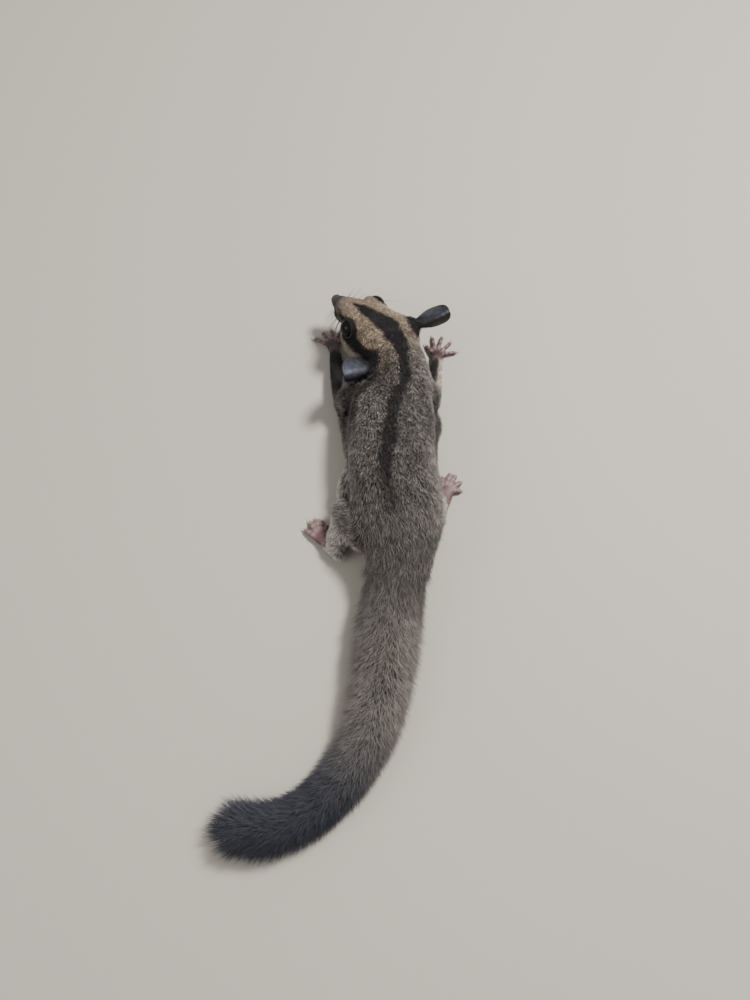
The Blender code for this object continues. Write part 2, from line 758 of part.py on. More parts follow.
def funnel(line, start, by):
    """A tube that opens along the locks' lie and holds all of the tail beyond it, to part the tail with."""
    stations = [(start - by, 0.5 * MM)]
    for along, rise, *_ in LOCK:
        *_, core, coat = line.at(start + LOCK_RUN * along)
        inner = core - LOCK_SUNK
        size = inner + (coat * FUNNEL_WIDTH - inner) * rise + by
        stations.append((start - by + LOCK_RUN * along + 0.1 * MM, size))
    reach = stations[-1][0]
    end = line.lengths[-1] + 2 * LOCK_RUN
    count = math.ceil((end - reach) / (6 * MM))
    stations += [(reach + (end - reach) * i / count, stations[-1][1] + by) for i in range(1, count + 1)]
    rings = [line.at(place) for place, _ in stations]
    sizes = [size for _, size in stations]
    return tube("funnel", [ring[0] for ring in rings], sizes, sizes, sides=16, round_ends=False)


def make_tail():
    """The tail's core and its rings of locks as one body, cut into lengths, and where it joins the rump."""
    line = TailLine()
    draw = random.Random(SEED)
    core = tube("tail", line.points, line.cores, [w * CORE_FLATTEN for w in line.cores], sides=12)
    locks = bpy.data.collections.new("locks")
    bpy.context.scene.collection.children.link(locks)
    first, last = 3 * MM, line.lengths[-1] - 6 * MM
    rings = round((last - first) / LOCK_PITCH) + 1
    pitch = (last - first) / (rings - 1)
    spread = math.pi - 2 * LOCK_LOWEST
    for i in range(rings):
        for k in range(LOCKS_AROUND):
            angle = LOCK_LOWEST + spread * (k + 0.5 * (i % 2)) / (LOCKS_AROUND - 0.5)
            made = lock(
                line,
                first + pitch * i + draw.uniform(-1.3, 1.3) * MM,
                angle + draw.uniform(-0.08, 0.08),
                LOCK_RUN * draw.uniform(0.85, 1.15),
                draw.uniform(0.98, 1.12),
                draw.uniform(-0.22, 0.22),
            )
            helpers.objects.unlink(made)
            locks.objects.link(made)
    union = core.modifiers.new("coat", "BOOLEAN")
    union.operation = "UNION"
    union.operand_type = "COLLECTION"
    union.collection = locks
    union.solver = "MANIFOLD"
    tail = largest_shell(on_floor(baked(core)))
    for obj in list(locks.objects):
        drop(obj)
    bpy.data.collections.remove(locks)
    nodes = {}
    for name, ring in zip(TAIL_NODES[:0:-1], TAIL_SEAMS[::-1]):
        start = first + pitch * (ring - 0.5)
        piece = boolean(copied(tail, name), "INTERSECT", funnel(line, start, 0))
        nodes[name] = largest_shell(piece)
        tail = largest_shell(boolean(tail, "DIFFERENCE", funnel(line, start, SEAM)))
    nodes[TAIL_NODES[0]] = tail
    return nodes, line.points[0]


def body_masses():
    masses = [
        limb("torso", TORSO, sides=24),
        limb("neck", NECK, sides=20),
        ball("shoulder", SHOULDER_PLACE, SHOULDER_SIZE),
    ]
    for side in SIDES:
        masses += [limb("arm", part[side]) for part in (UPPER_ARM, FOREARM, THIGH, SHANK)]
    return masses


def make_body():
    """The torso, neck and legs as one skin parted into nodes, and that skin for its neighbours to clear."""
    whole = on_floor(fused("body", body_masses(), 1.1 * MM, 8, BODY_TRIANGLES))
    skin = copied(whole, "skin")
    # Where each limb leaves the body, the way the cut faces, and how far it reaches along the body.
    roots = {
        "foreleg_left": ((3.6, 85, 12), (-0.92, 0, -0.38), 48),
        "foreleg_right": ((38.8, 87, 12), (0.92, 0, -0.38), 46),
        "hindleg_left": ((4.6, 9, 12), (-0.90, 0, -0.42), 38),
        "hindleg_right": ((38.2, 18, 12), (0.90, 0, -0.42), 40),
    }
    nodes = {}
    for name, root in roots.items():
        nodes[name], whole = part_off(whole, name, *root)
    place = head_frame()
    ahead = place.to_3x3() @ Vector((0, 1, 0))
    beyond, whole = split(whole, "beyond_neck", place @ Vector((0, OCCIPUT_Y, 0)), ahead)
    drop(beyond)
    nodes["neck"], whole = split(whole, "neck", Vector((21.6, 76, 19)) * MM, (0, 1, 0.1))
    nodes["rump"], nodes["torso"] = split(whole, "rump", Vector((20, 20, 18)) * MM, (0, -1, 0))
    return nodes, skin


def main():
    nodes, body = make_body()
    head, nose, eyes = make_head()
    place = head_frame()
    behind = place.to_3x3() @ Vector((0, -1, 0))
    cut = half_space("nape", place @ Vector((0, OCCIPUT_Y + SEAM / 2, 0)), behind)
    head = largest_shell(boolean(head, "DIFFERENCE", cut))
    ears = make_ears(head)

    tail, root = make_tail()
    half_gap = Vector((0, SEAM / 2, 0))
    behind_rump = half_space("behind_rump", root + half_gap, (0, -1, 0))
    before_tail = half_space("before_tail", root - half_gap, (0, 1, 0))
    nodes["rump"] = boolean(nodes["rump"], "DIFFERENCE", behind_rump)
    tail["tail_root"] = boolean(tail["tail_root"], "DIFFERENCE", before_tail)

    paws = {}
    for side in SIDES:
        hand = make_paw("hand_" + side, HAND[side], 1.0, (3.7, 2.4))
        foot = make_paw("foot_" + side, FOOT[side], 0.7, (4.2, 2.7))
        fold = on_floor(limb("membrane_" + side, MEMBRANE[side], steps=2, sides=10))
        paws["hand_" + side] = clear_of(hand, body)
        paws["foot_" + side] = clear_of(foot, body)
        nodes["membrane_" + side] = clear_of(fold, body)

    coat = material("coat", (0.11, 0.095, 0.085), 0.9)
    dark_coat = material("dark_coat", (0.03, 0.03, 0.034), 0.9)
    skin = material("bare_skin", (0.33, 0.21, 0.19), 0.6)
    ear_skin = material("ear_skin", (0.06, 0.06, 0.075), 0.45)
    eye_black = material("eye_black", (0.006, 0.006, 0.007), 0.08)
    for name, obj in nodes.items():
        keep(obj, name, coat)
    for name, obj in tail.items():
        keep(obj, name, dark_coat if name == "tail_tip" else coat)
    for name, obj in paws.items():
        keep(obj, name, skin)
    keep(head, "head", coat)
    keep(nose, "nose", skin)
    for side in SIDES:
        keep(eyes[side], "eye_" + side, eye_black)
        keep(ears[side], "ear_" + side, ear_skin)
    for obj in list(helpers.objects):
        drop(obj)


clear_scene()
animal = collection("sugar_glider")
helpers = collection("helpers")
main()
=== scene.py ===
"""A still, life-size sugar glider, dressed over its solids: skin, coat, eyes, ears, nose, claws, whiskers.

Everything is in metres. The animal faces +Y, its own left is -X, and the floor is Z = 0.
"""

import json
import math
import random

import bmesh
import bpy
import numpy as np
from mathutils import Matrix, Vector
from mathutils.bvhtree import BVHTree

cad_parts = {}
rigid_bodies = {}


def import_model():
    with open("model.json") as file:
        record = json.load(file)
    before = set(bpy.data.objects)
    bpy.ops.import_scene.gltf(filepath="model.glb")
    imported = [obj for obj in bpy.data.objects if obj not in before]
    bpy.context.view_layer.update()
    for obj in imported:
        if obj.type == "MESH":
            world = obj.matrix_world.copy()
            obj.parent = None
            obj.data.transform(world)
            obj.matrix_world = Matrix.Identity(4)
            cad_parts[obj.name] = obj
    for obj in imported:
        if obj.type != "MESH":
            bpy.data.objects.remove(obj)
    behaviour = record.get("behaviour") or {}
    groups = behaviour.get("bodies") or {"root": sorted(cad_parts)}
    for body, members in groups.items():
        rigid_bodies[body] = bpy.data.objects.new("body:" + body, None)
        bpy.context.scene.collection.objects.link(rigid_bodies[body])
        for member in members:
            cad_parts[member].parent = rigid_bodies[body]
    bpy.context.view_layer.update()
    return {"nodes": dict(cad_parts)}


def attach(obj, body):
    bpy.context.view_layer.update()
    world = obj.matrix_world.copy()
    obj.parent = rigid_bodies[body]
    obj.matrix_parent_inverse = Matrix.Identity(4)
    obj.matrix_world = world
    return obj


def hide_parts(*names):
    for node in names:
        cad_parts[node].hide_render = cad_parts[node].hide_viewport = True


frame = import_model()
nodes = frame["nodes"]
MM = 0.001

# The lie of the coat. Hair grows back from the nose over head, body and tail, and down each leg to the paw.
# It is shortest on the muzzle, a soft plush on the body, and long and loose on the tail. It is written down
# along lines through the middle of the flesh, which the skin, the markings and the tufts all read.
HEAD_PLACE = Matrix.Translation(Vector((17.6, 101.8, 20.4)) * MM) @ (
    Matrix.Rotation(math.radians(46.5), 4, "Z")
    @ Matrix.Rotation(math.radians(8), 4, "X")
    @ Matrix.Rotation(math.radians(2), 4, "Y")
)
# Each row: x, y, z and the radius round it, then how far a tuft runs along the skin and rises from it, its
# breadth, and how many grow on a square millimetre, all in mm. The head's rows are in its own frame.
HEAD_COAT = (
    (0, 33, -4.6, 2.2, 0.6, 0.15, 0.15, 10.0),
    (0, 28, -4.4, 3.6, 0.9, 0.25, 0.16, 10.0),
    (0, 23, -3.4, 5.4, 1.2, 0.3, 0.17, 10.5),
    (0, 17, -2.0, 8.0, 1.5, 0.42, 0.18, 10.5),
    (0, 9, -0.6, 11.0, 1.9, 0.6, 0.20, 9.8),
    (0, 0, 0.2, 13.6, 2.3, 0.85, 0.22, 9.0),
    (0, -9, 0.4, 13.4, 2.5, 1.1, 0.24, 8.6),
)
BODY_COAT = (
    (19.6, 96, 20.5, 12.4, 2.5, 1.4, 0.25, 8.6),
    (22.6, 88, 20.5, 13.6, 2.5, 1.6, 0.26, 8.6),
    (22.4, 76, 19.5, 16.0, 2.5, 1.8, 0.27, 8.4),
    (21.2, 63, 18.6, 17.4, 2.6, 2.0, 0.28, 8.2),
    (20.8, 51, 18.0, 17.6, 2.9, 2.1, 0.28, 7.8),
    (21.4, 38, 18.0, 17.6, 3.5, 2.2, 0.28, 7.2),
    (22.4, 24, 18.0, 17.6, 4.4, 2.4, 0.28, 6.8),
    (23.6, 10, 17.2, 17.0, 5.6, 2.6, 0.27, 6.8),
    (23.9, -2, 14.8, 14.2, 7.0, 3.0, 0.26, 7.6),
)
# The tail's middle line on the floor: x, y, z, the flesh's own half width, and the coat's.
TAIL_LINE = (
    (23.4, -8, 13.0, 10.8, 13.6),
    (21.8, -17, 10.6, 9.2, 14.4),
    (20.2, -26, 9.0, 7.8, 14.8),
    (18.6, -38, 8.0, 6.8, 14.4),
    (16.4, -54, 7.6, 6.2, 13.4),
    (12.7, -71.4, 7.2, 5.9, 12.2),
    (6.2, -86.4, 6.6, 5.4, 11.2),
    (-4.6, -100.6, 6.0, 5.0, 10.6),
    (-18.0, -110.8, 5.6, 4.6, 10.8),
    (-30.6, -114.8, 5.2, 4.2, 11.8),
    (-41.6, -114.6, 4.8, 3.2, 11.6),
)
# Each limb's own middle line, from the body outwards: x, y, z and the radius round it.
LIMB_LINES = {
    "foreleg_left": ((6, 78, 13, 7), (-0.2, 73, 9, 5), (-3.4, 88, 6.6, 4), (-5.2, 100, 4.4, 3),
                     (-6, 106, 3, 3), (-6.9, 110, 2.2, 3.2), (-8, 119, 1.2, 8)),
    "foreleg_right": ((36, 79, 13, 7), (38.4, 73, 9, 5), (41, 84, 6.6, 4), (42.6, 95, 4.4, 3),
                      (43.1, 101, 3, 3), (43.5, 105, 2.2, 3.2), (46.5, 114, 1.2, 9)),
    "hindleg_left": ((8, 11, 13, 9), (1.4, 18.5, 10.2, 7), (-1, 11, 7.6, 5.6), (-3.6, 5.8, 5.2, 4.4),
                     (-7.6, 8.6, 3.4, 3.4), (-10.6, 12, 2.4, 3.6), (-13.4, 19, 1.2, 7)),
    "hindleg_right": ((34, 12, 13, 9), (37.2, 29, 9.8, 6.4), (39.6, 22.5, 7.2, 5.4), (41.4, 18.6, 5, 4.4),
                      (44, 26, 3.2, 3.6), (46, 33, 2.4, 3.8), (51, 41, 1.2, 7)),
    "membrane_left": ((3, 66, 11, 4), (2.6, 46, 11, 4.4), (1.8, 28, 10, 4)),
    "membrane_right": ((39, 66, 11, 4), (38, 46, 11, 4.4), (39.6, 30, 10, 4)),
}
# The coat at the same places, alike on both sides: run, rise, breadth and how many.
LIMB_COAT = {
    "foreleg": ((3.36, 1.6, 0.25, 6.08), (3.04, 1.3, 0.23, 6.48), (2.56, 1, 0.2, 7.43), (2.2, 0.6, 0.22, 7),
                (0.9, 0.2, 0.16, 4), (0.6, 0.12, 0.14, 0), (0.5, 0.1, 0.14, 0)),
    "hindleg": ((4.16, 2, 0.28, 5.67), (3.84, 1.7, 0.27, 5.94), (3.36, 1.4, 0.23, 6.48), (3, 0.9, 0.25, 6),
                (1.6, 0.4, 0.18, 6), (0.8, 0.15, 0.15, 0), (0.5, 0.1, 0.14, 0)),
    "membrane": ((3.68, 1.5, 0.25, 5.94), (4.16, 1.7, 0.27, 5.67), (4.16, 1.7, 0.27, 5.67)),
}


def smoothstep(low, high, x):
    t = np.clip((x - low) / (high - low), 0, 1)
    return t * t * (3 - 2 * t)


def nearest_on(points, line):
    """For each point, its distance to the line's nearest place, and where that is in stations."""
    best = np.full(len(points), 1e9)
    place = np.zeros(len(points))
    for i, (a, b) in enumerate(zip(line, line[1:])):
        step = b - a
        t = np.clip((points - a) @ step / (step @ step), 0, 1)
        far = np.linalg.norm(points - (a + t[:, None] * step), axis=1)
        nearer = far < best
        best[nearer], place[nearer] = far[nearer], i + t[nearer]
    return best, place


def read_at(values, place):
    """A station table's values at fractional station numbers."""
    i = np.minimum(place.astype(int), len(values) - 2)
    t = (place - i)[:, None]
    return values[i] * (1 - t) + values[i + 1] * t


def coat_lines():
    """Every middle line by name, with its place, its radius and its coat in each row."""
    spine = []
    for row in HEAD_COAT:
        spine.append((*(HEAD_PLACE @ (Vector(row[:3]) * MM) / MM), *row[3:]))
    spine += BODY_COAT
    for i, (x, y, z, flesh, coat) in enumerate(TAIL_LINE):  # finer and denser hair over the first three rows
        share = min(1.0, (i + 1) / 3)
        run, crowd = 7.4 - 0.8 * share, 8.0 + 3.4 * share
        spine.append((x, y, z, flesh, run, (coat - flesh) * 1.08, 0.25 - 0.07 * share, crowd))
    lines = {"spine": np.array(spine, float)}
    for name, rows in LIMB_LINES.items():
        lines[name] = np.hstack([np.array(rows, float), np.array(LIMB_COAT[name.split("_")[0]], float)])
    return lines


COAT_LINES = coat_lines()
FIRST_BODY_ROW = len(HEAD_COAT)
FIRST_TAIL_ROW = len(HEAD_COAT) + len(BODY_COAT)
SPINE, FORELEGS, HINDLEGS, MEMBRANES = 0, (1, 2), (3, 4), (5, 6)  # the lines' numbers, left before right


def coat_at(points):
    """The coat's lie and measures at points of the skin, in mm, and their nearest line and place on it."""
    lie = np.zeros((len(points), 3))
    measures = np.zeros((len(points), 4))
    total = np.zeros(len(points))
    nearest = np.full(len(points), 1e9)
    line_of = np.zeros(len(points), int)
    place_of = np.zeros(len(points))
    for number, rows in enumerate(COAT_LINES.values()):
        far, place = nearest_on(points, rows[:, :3])
        q = far / read_at(rows[:, 3:4], place)[:, 0]
        tangents = np.gradient(rows[:, :3], axis=0)
        tangents /= np.linalg.norm(tangents, axis=1)[:, None]
        weight = 1 / (q**8 + 0.001)  # the nearest line rules, and halfway between two they blend
        lie += weight[:, None] * read_at(tangents, place)
        measures += weight[:, None] * read_at(rows[:, 4:], place)
        total += weight
        nearer = q < nearest
        nearest[nearer], line_of[nearer], place_of[nearer] = q[nearer], number, place[nearer]
    return lie, measures / total[:, None], line_of, place_of


# The skin. A glider has one loose, soft skin, dark under its fur, and pink and bare on palms and toes. The
# solids reach to the tips of the coat, so they are fused over their thin seams and drawn in by the coat's
# depth; the head, the paws and the tail's flesh are shaped again more finely, and all is fused as one.
FLESH_NODES = (
    "neck", "torso", "rump", "membrane_left", "membrane_right",
    "foreleg_left", "foreleg_right", "hindleg_left", "hindleg_right",
)
SEAM_OVER = 0.4 * MM  # what closes the seams between the solids before they are fused
COAT_DEPTH = 0.85  # how deep the coat stands on the skin, as a share of its tufts' rise
SKIN_GRAIN = 0.4 * MM  # the size of the cells that the whole skin is fused with
SKIN_TRIANGLES = 190000
HEAD_BALLS = (  # centre and radii in the head's own frame: X right, Y nose, Z up
    ((0, -2.6, 0.6), (14.6, 15.0, 12.0)),
    ((0, 7.0, 3.2), (10.8, 12.0, 8.4)),
    ((6.7, 13.0, 4.7), (4.5, 6.0, 3.0)),  # the right brow, drawn down over the eye
)
HEAD_PAIRS = (
    ((7.6, 7.0, -4.2), (7.0, 10.5, 6.4)),
    ((6.1, 13.2, 5.0), (4.4, 6.2, 3.0)),
    ((7.0, 13.24, 1.2), (5.8, 5.8, 5.6)),
    ((3.3, 22.6, -5.4), (3.3, 5.2, 3.1)),
    ((11.0, -5.4, 5.6), (4.2, 5.4, 4.4)),
    ((8.8, 7.4, -5.4), (6.6, 9.0, 5.2)),
)
SHOULDER = ((6.6, 79.0, 13.4), (7.6, 11.0, 9.4))  # fills the hollow between the neck and the left arm
# Along the snout, the lower jaw and the nape: x, y, z, half width and half height.
SNOUT = ((0, 6, 0.4, 12.6, 10.6), (0, 13, -0.4, 10.6, 9.2), (0, 19.5, -2.0, 7.6, 7.0),
         (0, 25, -3.5, 5.2, 5.0), (0, 29.4, -4.5, 3.3, 3.1))
JAW = ((0, 8, -6.0, 8.6, 4.6), (0, 15, -7.2, 6.2, 3.6), (0, 21.5, -7.8, 4.2, 2.7), (0, 26.4, -7.9, 2.6, 1.8))
NAPE = ((23.2, 84, 20.0, 15.2, 12.6), (21.8, 91, 20.5, 14.0, 12.3), (17.8, 99, 20.5, 12.4, 11.2))
EYE_CENTRE = Vector((8.6, 14.0, 1.8)) * MM
EYE_AXIS = Vector((0.86, 0.40, 0.32)).normalized()
EYE_RADIUS = 4.5 * MM
LID_RING = 4.25 * MM  # the lids' ring round the eye, how thick they are, and how far forward of its middle
LID_THICKNESS = 0.45 * MM
LID_STEPS = 48
LID_FORWARD = 1.55 * MM
NOSE_CENTRE = Vector((0, 30.3, -4.1)) * MM
# Wrist, palm, the digits' tips in order, arch, the palm's half width and height, a digit's radius.
PAWS = {
    "hand_left": ((-5.5, 103, 4.2), (-6.7, 108.6, 2.4),
                  ((-0.6, 113.2), (-3.2, 118.0), (-7.6, 119.2), (-12.6, 117.8), (-17.2, 113.8)),
                  1.0, 2.9, 1.8, 1.0),
    "hand_right": ((43.0, 97.6, 4.2), (43.3, 103.4, 2.4),
                   ((37.2, 110.4), (40.9, 115.2), (46.2, 115.4), (51.0, 112.0), (53.8, 105.6)),
                   1.0, 2.9, 1.8, 1.0),
    "foot_left": ((-4.8, 5.2, 4.0), (-10.6, 11.6, 2.6),
                  ((-7.6, 18.0), (-11.0, 20.6), (-13.4, 21.0), (-16.4, 19.6), (-19.0, 15.6)),
                  0.9, 3.6, 2.2, 1.3),
    "foot_right": ((41.6, 19.6, 4.0), (46.0, 33.4, 2.6),
                   ((44.6, 41.6), (48.6, 43.2), (51.2, 42.2), (54.0, 38.6), (54.2, 33.6)),
                   0.9, 3.6, 2.2, 1.3),
}
CLAW_LENGTH = 2.4 * MM
# Along a digit: share of its length, of its arch and of its radius, with two knuckles and a round pad.
DIGIT = ((-0.5, 1.3, 0.6), (-0.25, 1.5, 0.8), (0, 1.4, 0.9), (0.2, 1.3, 0.92), (0.32, 1.32, 1.06),
         (0.45, 1.18, 0.85), (0.6, 0.95, 0.85), (0.7, 0.8, 1.0), (0.8, 0.5, 0.85), (0.9, 0.28, 1.05),
         (1, 0.1, 0.9))
# Along the palm, from the wrist to the roots of the digits: shares of its half width and half height.
PALM_WIDTHS = (0.6, 0.7, 0.78, 0.84, 0.92, 1, 1.02, 1.02, 0.98, 0.92, 0.85)
PALM_HEIGHTS = (1.3, 1.25, 1.15, 1.05, 1, 0.95, 0.92, 0.9, 0.85, 0.8, 0.75)


def smooth_path(points, steps):
    """Points read from a Catmull-Rom curve through the given vectors, steps to a span."""
    padded = [points[0] * 2 - points[1], *points, points[-1] * 2 - points[-2]]
    read = []
    for a, b, c, d in zip(padded, padded[1:], padded[2:], padded[3:]):
        for i in range(steps):
            t = i / steps
            square = 2 * a - 5 * b + 4 * c - d
            cube = 3 * b - a - 3 * c + d
            read.append(0.5 * (2 * b + (c - a) * t + square * t**2 + cube * t**3))
    return [*read, points[-1].copy()]


def bridge(bm, rings, closed=True):
    """Four-sided faces between neighbouring rows of points, which close to rings or stay open."""
    faces = []
    for a, b in zip(rings, rings[1:]):
        for k in range(len(a) if closed else len(a) - 1):
            n = (k + 1) % len(a)
            faces.append(bm.faces.new((a[k], a[n], b[n], b[k])))
    return faces


def dome(ring, sign):
    """Two smaller rings beyond the end of a tube, which round it off."""
    point, tangent, width, height = ring
    made = []
    for out, size in ((0.5, 0.87), (0.85, 0.53)):
        made.append((point + tangent * (sign * height * out), tangent, width * size, height * size))
    return made


def add_tube(bm, points, widths, heights, sides=16, domed=True):
    """A closed loft of ellipses along a path, with its sides level."""
    rings = []
    for i, point in enumerate(points):
        tangent = (points[min(i + 1, len(points) - 1)] - points[max(i - 1, 0)]).normalized()
        rings.append((point, tangent, widths[i], heights[i]))
    if domed:
        rings = dome(rings[0], -1)[::-1] + rings + dome(rings[-1], 1)
    made = []
    for point, tangent, width, height in rings:
        side = tangent.cross(Vector((0, 0, 1))).normalized()
        up = side.cross(tangent).normalized()
        ring = []
        for k in range(sides):
            angle = 2 * math.pi * k / sides
            place = point + side * (width * math.cos(angle)) + up * (height * math.sin(angle))
            ring.append(bm.verts.new(place))
        made.append(ring)
    faces = bridge(bm, made) + [bm.faces.new(made[0]), bm.faces.new(made[-1])]
    bmesh.ops.recalc_face_normals(bm, faces=faces)


def add_mass(bm, rows):
    """A tube through rows of x, y, z, half width and half height."""
    add_tube(bm, [Vector(row[:3]) for row in rows], [row[3] for row in rows], [row[4] for row in rows],
             sides=24)


def add_ball(bm, centre, radii, place=Matrix.Identity(4)):
    shape = place @ Matrix.Translation(centre) @ Matrix.Diagonal((*radii, 1))
    bmesh.ops.create_uvsphere(bm, u_segments=48, v_segments=32, radius=1, matrix=shape)


def new_object(name, data, home=bpy.context.scene.collection):
    obj = bpy.data.objects.new(name, data)
    home.objects.link(obj)
    return obj


def new_mesh(name, bm):
    mesh = bpy.data.meshes.new(name)
    bm.to_mesh(mesh)
    bm.free()
    return mesh


def as_object(name, bm):
    return new_object(name, new_mesh(name, bm))


def applied(obj):
    """The object with its modifiers taken into a plain mesh."""
    graph = bpy.context.evaluated_depsgraph_get()
    mesh = bpy.data.meshes.new_from_object(obj.evaluated_get(graph))
    obj.modifiers.clear()
    obj.data = mesh
    return obj


def fused(obj, grain, smoothing):
    """Closed masses made one soft surface."""
    remesh = obj.modifiers.new("fuse", "REMESH")
    remesh.mode = "VOXEL"
    remesh.voxel_size = grain
    smooth = obj.modifiers.new("soften", "SMOOTH")
    smooth.factor = 0.5
    smooth.iterations = smoothing
    return applied(obj)


def places(mesh):
    """A mesh's points and normals as arrays, in metres."""
    co = np.zeros(len(mesh.vertices) * 3)
    mesh.vertices.foreach_get("co", co)
    normals = np.array([n.vector for n in mesh.vertex_normals], float)
    return co.reshape(-1, 3), normals


def drawn_in(obj, extra=0.0):
    """The surface moved inwards by the coat's depth, and by what was added to close its seams."""
    co, normals = places(obj.data)
    _, measures, _, _ = coat_at(co / MM)
    co -= normals * (measures[:, 1] * COAT_DEPTH * MM + extra)[:, None]
    obj.data.vertices.foreach_set("co", co.ravel())
    obj.data.update()
    return obj


def trunk_and_legs():
    bm = bmesh.new()
    for name in FLESH_NODES:
        bm.from_mesh(nodes[name].data)
    bmesh.ops.remove_doubles(bm, verts=bm.verts, dist=0.002 * MM)
    bm.normal_update()
    for vert in bm.verts:
        vert.co += vert.normal * SEAM_OVER
    return drawn_in(fused(as_object("trunk", bm), grain=0.7 * MM, smoothing=10), SEAM_OVER)


def head_flesh():
    bm = bmesh.new()
    for centre, radii in HEAD_BALLS:
        add_ball(bm, Vector(centre) * MM, Vector(radii) * MM)
    for centre, radii in HEAD_PAIRS:
        for sign in (-1, 1):
            add_ball(bm, Vector((centre[0] * sign, *centre[1:])) * MM, Vector(radii) * MM)
    for rows in (SNOUT, JAW):
        add_mass(bm, smooth_path([Vector(row) * MM for row in rows], 5))
    bmesh.ops.transform(bm, matrix=HEAD_PLACE, verts=bm.verts)
    add_ball(bm, Vector(SHOULDER[0]) * MM, Vector(SHOULDER[1]) * MM)
    add_mass(bm, smooth_path([Vector(row) * MM for row in NAPE], 4))
    return drawn_in(fused(as_object("head_flesh", bm), grain=0.5 * MM, smoothing=14))


def eye_at(sign):
    """One eye's centre and the way it looks, in the head's frame: the left one is -1 and the right one 1."""
    return [Vector((v.x * sign, v.y, v.z)) for v in (EYE_CENTRE, EYE_AXIS)]


def lids():
    """A ring of skin round each eye, which is its upper and lower lid."""
    bm = bmesh.new()
    sides = 10
    for sign in (-1, 1):
        centre, axis = eye_at(sign)
        turn = Vector((0, 0, 1)).rotation_difference(axis).to_matrix().to_4x4()
        shape = HEAD_PLACE @ Matrix.Translation(centre + axis * LID_FORWARD) @ turn
        rings = []
        for i in range(LID_STEPS):
            around = 2 * math.pi * i / LID_STEPS
            ring = []
            for k in range(sides):
                tilt = 2 * math.pi * k / sides
                out = LID_RING + LID_THICKNESS * math.cos(tilt)
                up = LID_THICKNESS * math.sin(tilt)
                place = Vector((out * math.cos(around), out * math.sin(around), up))
                ring.append(bm.verts.new(shape @ place))
            rings.append(ring)
        for a, b in zip(rings, rings[1:] + rings[:1]):
            for k in range(sides):
                bm.faces.new((a[k], b[k], b[(k + 1) % sides], a[(k + 1) % sides]))
    bmesh.ops.recalc_face_normals(bm, faces=bm.faces)
    return as_object("lids", bm)


def digit_ends(paw):
    """Each digit's root, its end under the claw, and the way it points."""
    wrist, palm, tips, _, wide, _, _ = PAWS[paw]
    wrist, palm = Vector(wrist) * MM, Vector(palm) * MM
    ahead = palm - wrist
    level = Vector((ahead.x, ahead.y, 0)).normalized()
    side = level.cross(Vector((0, 0, 1)))
    tips = [Vector((*tip, 0)) * MM for tip in tips]
    reach = sum((tip - palm).dot(level) for tip in tips) / len(tips)
    order = 1 if (tips[-1] - tips[0]).dot(side) > 0 else -1
    found = []
    for i, tip in enumerate(tips):
        spread = (i - 2) / 2
        root = palm + level * (reach * (0.15 - 0.10 * abs(spread)))
        root = root + side * (wide * MM * 0.72 * order * spread)
        way = Vector(((tip - root).x, (tip - root).y, 0)).normalized()
        found.append((root, tip - way * (CLAW_LENGTH * 0.85), way))
    return found, level, reach


def paw_flesh():
    bm = bmesh.new()
    for paw, (wrist, palm, _, arch, wide, high, thick) in PAWS.items():
        ends, level, reach = digit_ends(paw)
        wrist, palm = Vector(wrist) * MM, Vector(palm) * MM
        back = (palm - wrist).normalized() * (3.4 * MM)
        path = [wrist - back, wrist.lerp(palm, 0.3), palm, palm + level * (reach * 0.22)]
        for i, point in enumerate(path):
            point.z = (4.6, 3.4, 2.0, 1.7)[i] * MM
        middle = smooth_path(path, 3)
        widths = [wide * MM * PALM_WIDTHS[i] for i in range(len(middle))]
        heights = [high * MM * PALM_HEIGHTS[i] for i in range(len(middle))]
        add_tube(bm, middle, widths, heights, sides=20)
        for root, end, _ in ends:
            points, sizes = [], []
            for t, lift, size in DIGIT:
                point = root.lerp(end, t)
                point.z = (thick * 0.95 + arch * lift) * MM
                points.append(point)
                sizes.append(thick * size * MM)
            add_tube(bm, points, sizes, sizes, sides=12)
    for vert in bm.verts:
        vert.co.z = max(vert.co.z, 0.12 * MM)
    return as_object("paw_flesh", bm)


def tail_flesh():
    bm = bmesh.new()
    path = smooth_path([Vector(row[:3]) * MM for row in TAIL_LINE], 4)
    sizes = smooth_path([Vector((row[3], row[4], 0)) * MM for row in TAIL_LINE], 4)
    add_tube(bm, path, [s.x for s in sizes], [s.x * 0.92 for s in sizes], sides=24)
    return as_object("tail_flesh", bm)


def join_objects(name, objects):
    bm = bmesh.new()
    for obj in objects:
        bm.from_mesh(obj.data)
        bpy.data.objects.remove(obj)
    return as_object(name, bm)


def cut_by(obj, bm):
    """The object less the closed masses in the bmesh."""
    cutter = as_object("cutter", bm)
    cut = obj.modifiers.new("cut", "BOOLEAN")
    cut.operation = "DIFFERENCE"
    cut.solver = "MANIFOLD"
    cut.object = cutter
    applied(obj)
    bpy.data.objects.remove(cutter)
    return obj


def make_skin():
    skin = join_objects("skin", [trunk_and_legs(), head_flesh(), paw_flesh(), tail_flesh()])
    fused(skin, SKIN_GRAIN, smoothing=3)
    hollows = bmesh.new()
    for sign in (-1, 1):
        centre, axis = eye_at(sign)
        radii = Vector((1, 1, 1)) * (EYE_RADIUS + 0.05 * MM)
        add_ball(hollows, centre + axis * (0.35 * MM), radii, HEAD_PLACE)
    cut_by(skin, hollows)
    skin = join_objects("skin", [skin, lids()])
    fused(skin, SKIN_GRAIN, smoothing=2)
    fewer = skin.modifiers.new("fewer", "DECIMATE")
    fewer.use_collapse_triangulate = True
    fewer.ratio = min(1.0, SKIN_TRIANGLES / (2 * len(skin.data.polygons)))
    return applied(skin)


skin = make_skin()


